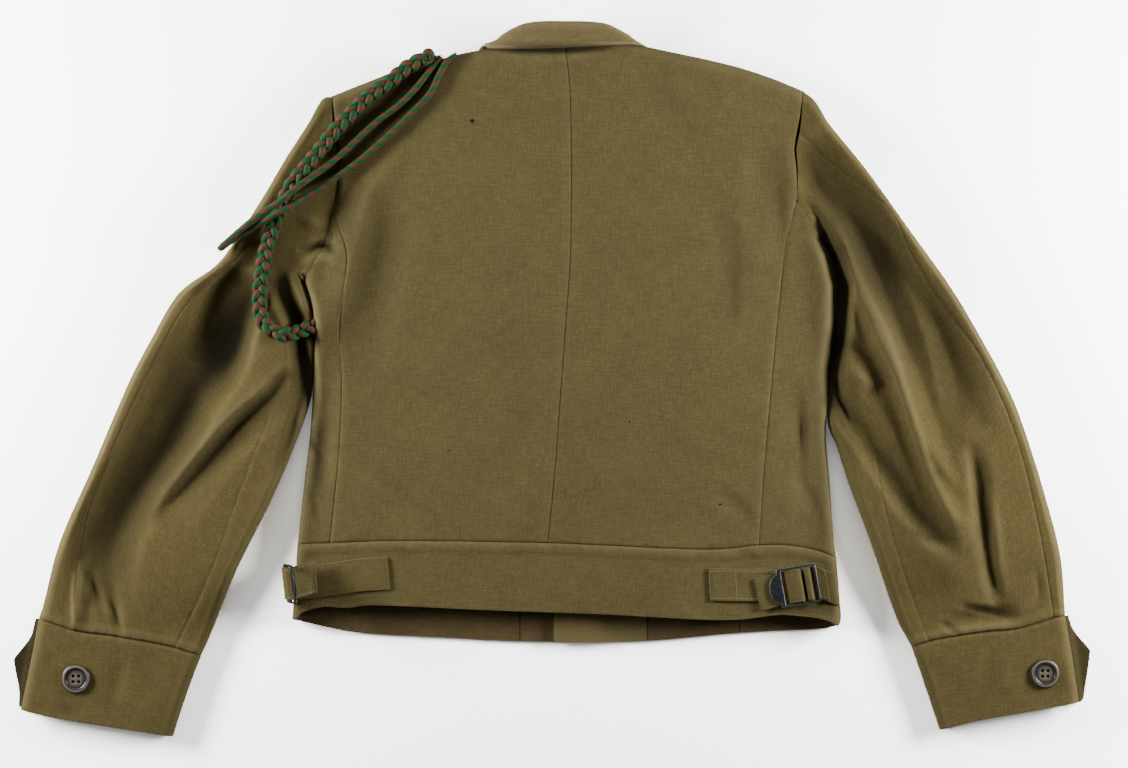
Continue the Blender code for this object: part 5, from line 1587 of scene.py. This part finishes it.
# %% Steel with edges worn bright
steel_group, given, result = new_group("blued_steel_wear", {
    "Blued Colour": (0.020, 0.021, 0.024), "Bare Colour": (0.34, 0.33, 0.31), "Wear": 1.0})
here = object_place(steel_group)
scuff = noise(steel_group, here, 420.0, 5.0, 0.7)
blotch = noise(steel_group, here, 130.0, 3.0, 0.6)
bare = (attribute(steel_group, "edge") * given["Wear"] * (-0.5 + scuff * 2.2)).clamped()
bare = (bare + ramp(steel_group, scuff, 0.54, 0.85) * 0.30).clamped()
feed(result["Colour"], mixed(steel_group, bare, given["Blued Colour"], given["Bare Colour"]))
feed(result["Roughness"], 0.28 + blotch * 0.35)
feed(result["Height"], scuff)


def steel_material(name, blued, bare_colour):
    values = {"Blued Colour": blued, "Bare Colour": bare_colour, "Wear": 0.6}
    return group_material(name, steel_group, values, {"Metallic": 0.6}, 0.25, 0.0001)


# The left slide stands on edge, turned from the light, so its steel is a darker copy of the
# colours: painted shade.
STEELS = {
    "left": steel_material("blued_steel_painted_shade", (0.010, 0.0105, 0.012), (0.24, 0.23, 0.21)),
    "right": steel_material("blued_steel", (0.042, 0.044, 0.049), (0.52, 0.50, 0.46)),
}
print("steel ready")


# %% Slide buckles
def arc(x, y, radius, start, end, count):
    """Places along a circle, between two angles in degrees."""
    return [(x + radius * math.cos(t), y + radius * math.sin(t))
            for t in np.radians(np.linspace(start, end, count))]


def box_loop(x0, x1, half_width, corner, count):
    """A rectangle with rounded corners."""
    left, right, side = x0 + corner, x1 - corner, half_width - corner
    corners = ((right, -side, -90), (right, side, 0), (left, side, 90), (left, -side, 180))
    return [spot for cx, cy, start in corners
            for spot in arc(cx, cy, corner, start, start + 90, count)]


def plate(loops, thickness, bevel, matrix, count=2):
    """A plate filled between its loops, thickened by extruding, with its edges rounded."""
    bm = bmesh.new()
    edge_layer = bm.verts.layers.float.new("edge")
    edges = []
    for loop in loops:
        verts = [bm.verts.new((x, y, -thickness / 2)) for x, y in loop]
        edges += [bm.edges.new(pair) for pair in zip(verts, verts[1:] + verts[:1])]
    bmesh.ops.triangle_fill(bm, edges=edges, use_beauty=True, use_dissolve=False)
    bmesh.ops.dissolve_limit(bm, angle_limit=0.01, verts=bm.verts[:], edges=bm.edges[:])
    bmesh.ops.triangulate(bm, faces=bm.faces[:])
    lifted = bmesh.ops.extrude_face_region(bm, geom=bm.faces[:], use_keep_orig=True)
    top = [item for item in lifted["geom"] if isinstance(item, bmesh.types.BMVert)]
    bmesh.ops.translate(bm, verts=top, vec=(0, 0, thickness))
    bmesh.ops.recalc_face_normals(bm, faces=bm.faces[:])
    rims = [edge for edge in bm.edges if len(edge.link_faces) == 2
            and edge.calc_face_angle(0) > 1.2]
    bevelled = bmesh.ops.bevel(bm, geom=rims, offset=bevel, offset_type="OFFSET", segments=count,
                               affect="EDGES", profile=0.5, material=-1)
    for vert in bevelled["verts"]:
        depth = thickness / 2 - abs(vert.co.z)
        vert[edge_layer] = 1.0 if 0.02 < depth < bevel - 0.02 else 0.0
    for face in bm.faces:
        face.smooth = True
    bmesh.ops.transform(bm, matrix=matrix, verts=bm.verts[:])
    bmesh.ops.scale(bm, vec=(MM, MM, MM), verts=bm.verts[:])
    return bm


reach, half = THUMB_TAB
edge = -BUCKLE_LENGTH / 2
tab = [(edge - reach * math.sin(t), half * math.cos(t)) for t in np.linspace(0, math.pi, 21)]
frame_loop = box_loop(edge, -edge, BUCKLE_WIDTH / 2, BUCKLE_CORNER, CORNER_POINTS)
third = 3 * CORNER_POINTS
outline = [*frame_loop[:third], *tab, *frame_loop[third:]]
slots = [box_loop(x0, x1, SLOT_WIDTH / 2, 1.0, 4) for x0, x1 in SLOTS]
for hand in BUCKLES:
    bm = plate([outline, *slots], BUCKLE_THICKNESS, 0.55, buckle_frame(hand), 3)
    buckle = finished("steel_slide_" + hand, bm, [STEELS[hand]],
                      "buckle_" + hand)
    print("slide", hand, len(buckle.data.polygons), "faces")

# %% [markdown]
# ## Cuff buttons
#
# Each cuff has one four-hole button with a raised rim and a dished middle. The dish is a plate
# filled between its rim and the loops of the holes, and the rim is one section spun round it.

# %% Button plastic
plastic_group, given, result = new_group("button_wear_and_highlight", {
    "Plastic Colour": (0.10, 0.085, 0.05), "Rubbed And Highlight Colour": (0.2, 0.17, 0.1)},
    ("Colour", "Roughness"))
cloudy = noise(plastic_group, object_place(plastic_group), 160.0, 4.0, 0.6)
# The rim's crown and the dish round the holes are painted paler: rubbed wear and painted highlight.
rub_and_highlight = (attribute(plastic_group, "edge") * 0.6 + cloudy * 0.05).clamped()
feed(result["Colour"],
     mixed(plastic_group, rub_and_highlight, given["Plastic Colour"], given["Rubbed And Highlight Colour"]))
feed(result["Roughness"], 0.18 + cloudy * 0.3)
plastic = group_material("button_plastic", plastic_group, {
    "Plastic Colour": (0.018, 0.012, 0.009), "Rubbed And Highlight Colour": (0.400, 0.350, 0.280)}, {})
hole_shade_black = plain_material("painted_hole_shade", (0.004, 0.003, 0.002), 0.9)
print("button plastic ready")

# %% Buttons
BUTTON_RAISE = 1.8       # of a button's middle over its bed
BUTTON_HOLE, HOLE_STEP = 3.1, 2.6
BUTTON_PLACES = {"left": (-442, -278), "right": (458, -273)}
DISH_RADIUS, DISH_THICKNESS, DISH_LEVEL = 8.4, 1.5, -0.6
RUB_AND_HIGHLIGHT_RADIUS, RUB_AND_HIGHLIGHT = 7.0, 0.55    # the dish is painted paler round its holes, as rubbed wear and painted highlight
UNDERSIDE = -1.4
BUTTON_RIM = [
    # radius, height over the middle, rubbed wear and painted highlight
    (8.4, -1.3, 0), (8.5, 0, 0), (9.3, 1.0, 0.05), (10.4, 1.45, 0.1), (11.6, 1.45, 1),
    (12.9, 0.9, 0.02), (13.5, 0.2, 0), (13.2, -0.9, 0), (12.1, -1.5, 0), (9.4, -1.5, 0)]


def round_loop(x, y, radius, count):
    return arc(x, y, radius, 0, 360, count + 1)[:-1]


holes = [round_loop(x, y, BUTTON_HOLE / 2, 12)
         for x in (-HOLE_STEP, HOLE_STEP) for y in (-HOLE_STEP, HOLE_STEP)]
for hand, place in BUTTON_PLACES.items():
    middle = Vector((*place, BUTTON_BED + BUTTON_RAISE))
    bm = plate([round_loop(0, 0, DISH_RADIUS + 0.6, 36), *holes], DISH_THICKNESS, 0.2,
               Matrix.Translation(middle + Vector((0, 0, DISH_LEVEL))))
    edge_layer = bm.verts.layers.float["edge"]
    for vert in bm.verts:
        near = (vert.co / MM - middle).xy.length < RUB_AND_HIGHLIGHT_RADIUS
        vert[edge_layer] = RUB_AND_HIGHLIGHT if near else 0.0
    verts = [bm.verts.new((middle + Vector((r, 0, z))) * MM) for r, z, _ in BUTTON_RIM]
    for vert, (_, _, rub_and_highlight_amount) in zip(verts, BUTTON_RIM):
        vert[edge_layer] = rub_and_highlight_amount
    ring = [bm.edges.new(pair) for pair in zip(verts, verts[1:] + verts[:1])]
    bmesh.ops.spin(bm, geom=verts + ring, cent=middle * MM, axis=(0, 0, 1), dvec=(0, 0, 0),
                   angle=2 * math.pi, steps=48, use_merge=True, use_duplicate=False)
    # A near-black disc under the holes is painted shade, seen through them.
    below = [bm.verts.new((middle + Vector((a, b, UNDERSIDE))) * MM)
             for a, b in round_loop(0, 0, DISH_RADIUS, 24)]
    bm.faces.new(below).material_index = 1
    bmesh.ops.recalc_face_normals(bm, faces=bm.faces[:])
    for face in bm.faces:
        face.smooth = True
    button = finished("button_" + hand, bm, [plastic, hole_shade_black],
                      "cuff_button_" + hand)
    print("button", hand, len(button.data.polygons), "faces")

# %% [markdown]
# ## Stitches
#
# Machine stitching holds every edge: along the waistband, round the cuffs, along the collar,
# and along and across the straps. One stitch is a small stretched ball, and it is repeated
# along a line that lies on the cloth.

# %% Stitch lines
STITCH_PITCH = 2.6
STITCH_HALVES = (0.95, 0.26, 0.208)      # half its length, width and height
STITCH_RISE = 0.12
STRAP_INSET = 12.6       # from the strap's middle to its stitches
STRAP_CROSS_ROWS = {"strap_right": (2.0, 22.5), "strap_left": (3.0, 20.0)}


def stitched(name, runs, material):
    """Stitches along runs of places (x, y, z) in millimetres, as one piece."""
    bm = bmesh.new()
    size = Matrix.Diagonal((*(half * MM for half in STITCH_HALVES), 1))
    for line in map(Line, runs):
        for distance in np.arange(STITCH_PITCH / 2, line.length, STITCH_PITCH):
            here, ahead = line.at_distance([distance, min(distance + 1, line.length)])
            turn = Vector(ahead - here).to_track_quat("X", "Z").to_matrix().to_4x4()
            place = Matrix.Translation(Vector(here) * MM) @ turn @ size
            bmesh.ops.create_icosphere(bm, subdivisions=1, radius=1.0, matrix=place)
    finished(name, bm, [material])


def beside(name, distance, start, end):
    """A run on the cloth at a distance to the left of a line of the pattern."""
    line = LINE[name]
    spots = line.at(np.linspace(start, end, max(8, int(line.length * (end - start) / 4))))
    ways = np.gradient(spots, axis=0)
    ways /= np.linalg.norm(ways, axis=1)[:, None]
    x, y = (spots + distance * np.column_stack([-ways[:, 1], ways[:, 0]])).T
    return np.column_stack([x, y, surface(x, y) + STITCH_RISE])


stitched("stitches_waistband", [beside("band_seam_back", -2.2, 0.01, 0.99),
                                beside("band_hem_back", 2.6, 0.01, 0.99)], thread)
for hand, sign in (("left", 1), ("right", -1)):
    stitched("stitches_cuff_" + hand, [beside("cuff_seam_" + hand, 2.4 * sign, 0.03, 0.97),
                                       beside("cuff_hem_" + hand, 3.0 * sign, 0.04, 0.97)], thread)
stitched("stitches_collar", [collar_rows[40:-40, -4] + (0, 0, DOUBLED / 2 + 0.15)], thread)
runs = []
for name, cross_rows in STRAP_CROSS_ROWS.items():
    path, across, normals = STRAP_PATHS[name]
    top = path + normals * (STRAP_THICKNESS / 2 + 0.14)
    runs += [top - STRAP_INSET * across, top + STRAP_INSET * across]
    for distance in cross_rows:
        row = int(np.argmin(np.abs(Line(path).run - distance)))
        runs.append([top[row] + share * STRAP_INSET * across[row] for share in (-1, 0, 1)])
stitched("stitches_straps", runs, light_thread)
print("stitch lines:", 7 + len(runs))

# %% Moth holes
# Each moth hole is a near-black patch on the cloth: painted shade for the dark inside seen through
# it.
MOTH_HOLES = [(-74, 240, 2.3), (72, -39, 0.9), (-96, -66, 0.9), (156, -116, 1.3)]
bm = bmesh.new()
angles = np.linspace(0, 2 * math.pi, 14, endpoint=False)
for number, (x, y, radius) in enumerate(MOTH_HOLES):
    ragged = 1 + 0.28 * np.sin(3 * angles + number) + 0.16 * np.sin(5 * angles + 2 * number)
    rim = np.array([x + radius * ragged * np.cos(angles),
                    y + 0.8 * radius * ragged * np.sin(angles)])
    spots = np.column_stack([*rim, surface(*rim) + 0.10])
    bm.faces.new([bm.verts.new(Vector(spot) * MM) for spot in spots])
finished("moth_holes", bm, [hole_shade_black])
print("moth holes:", len(MOTH_HOLES))
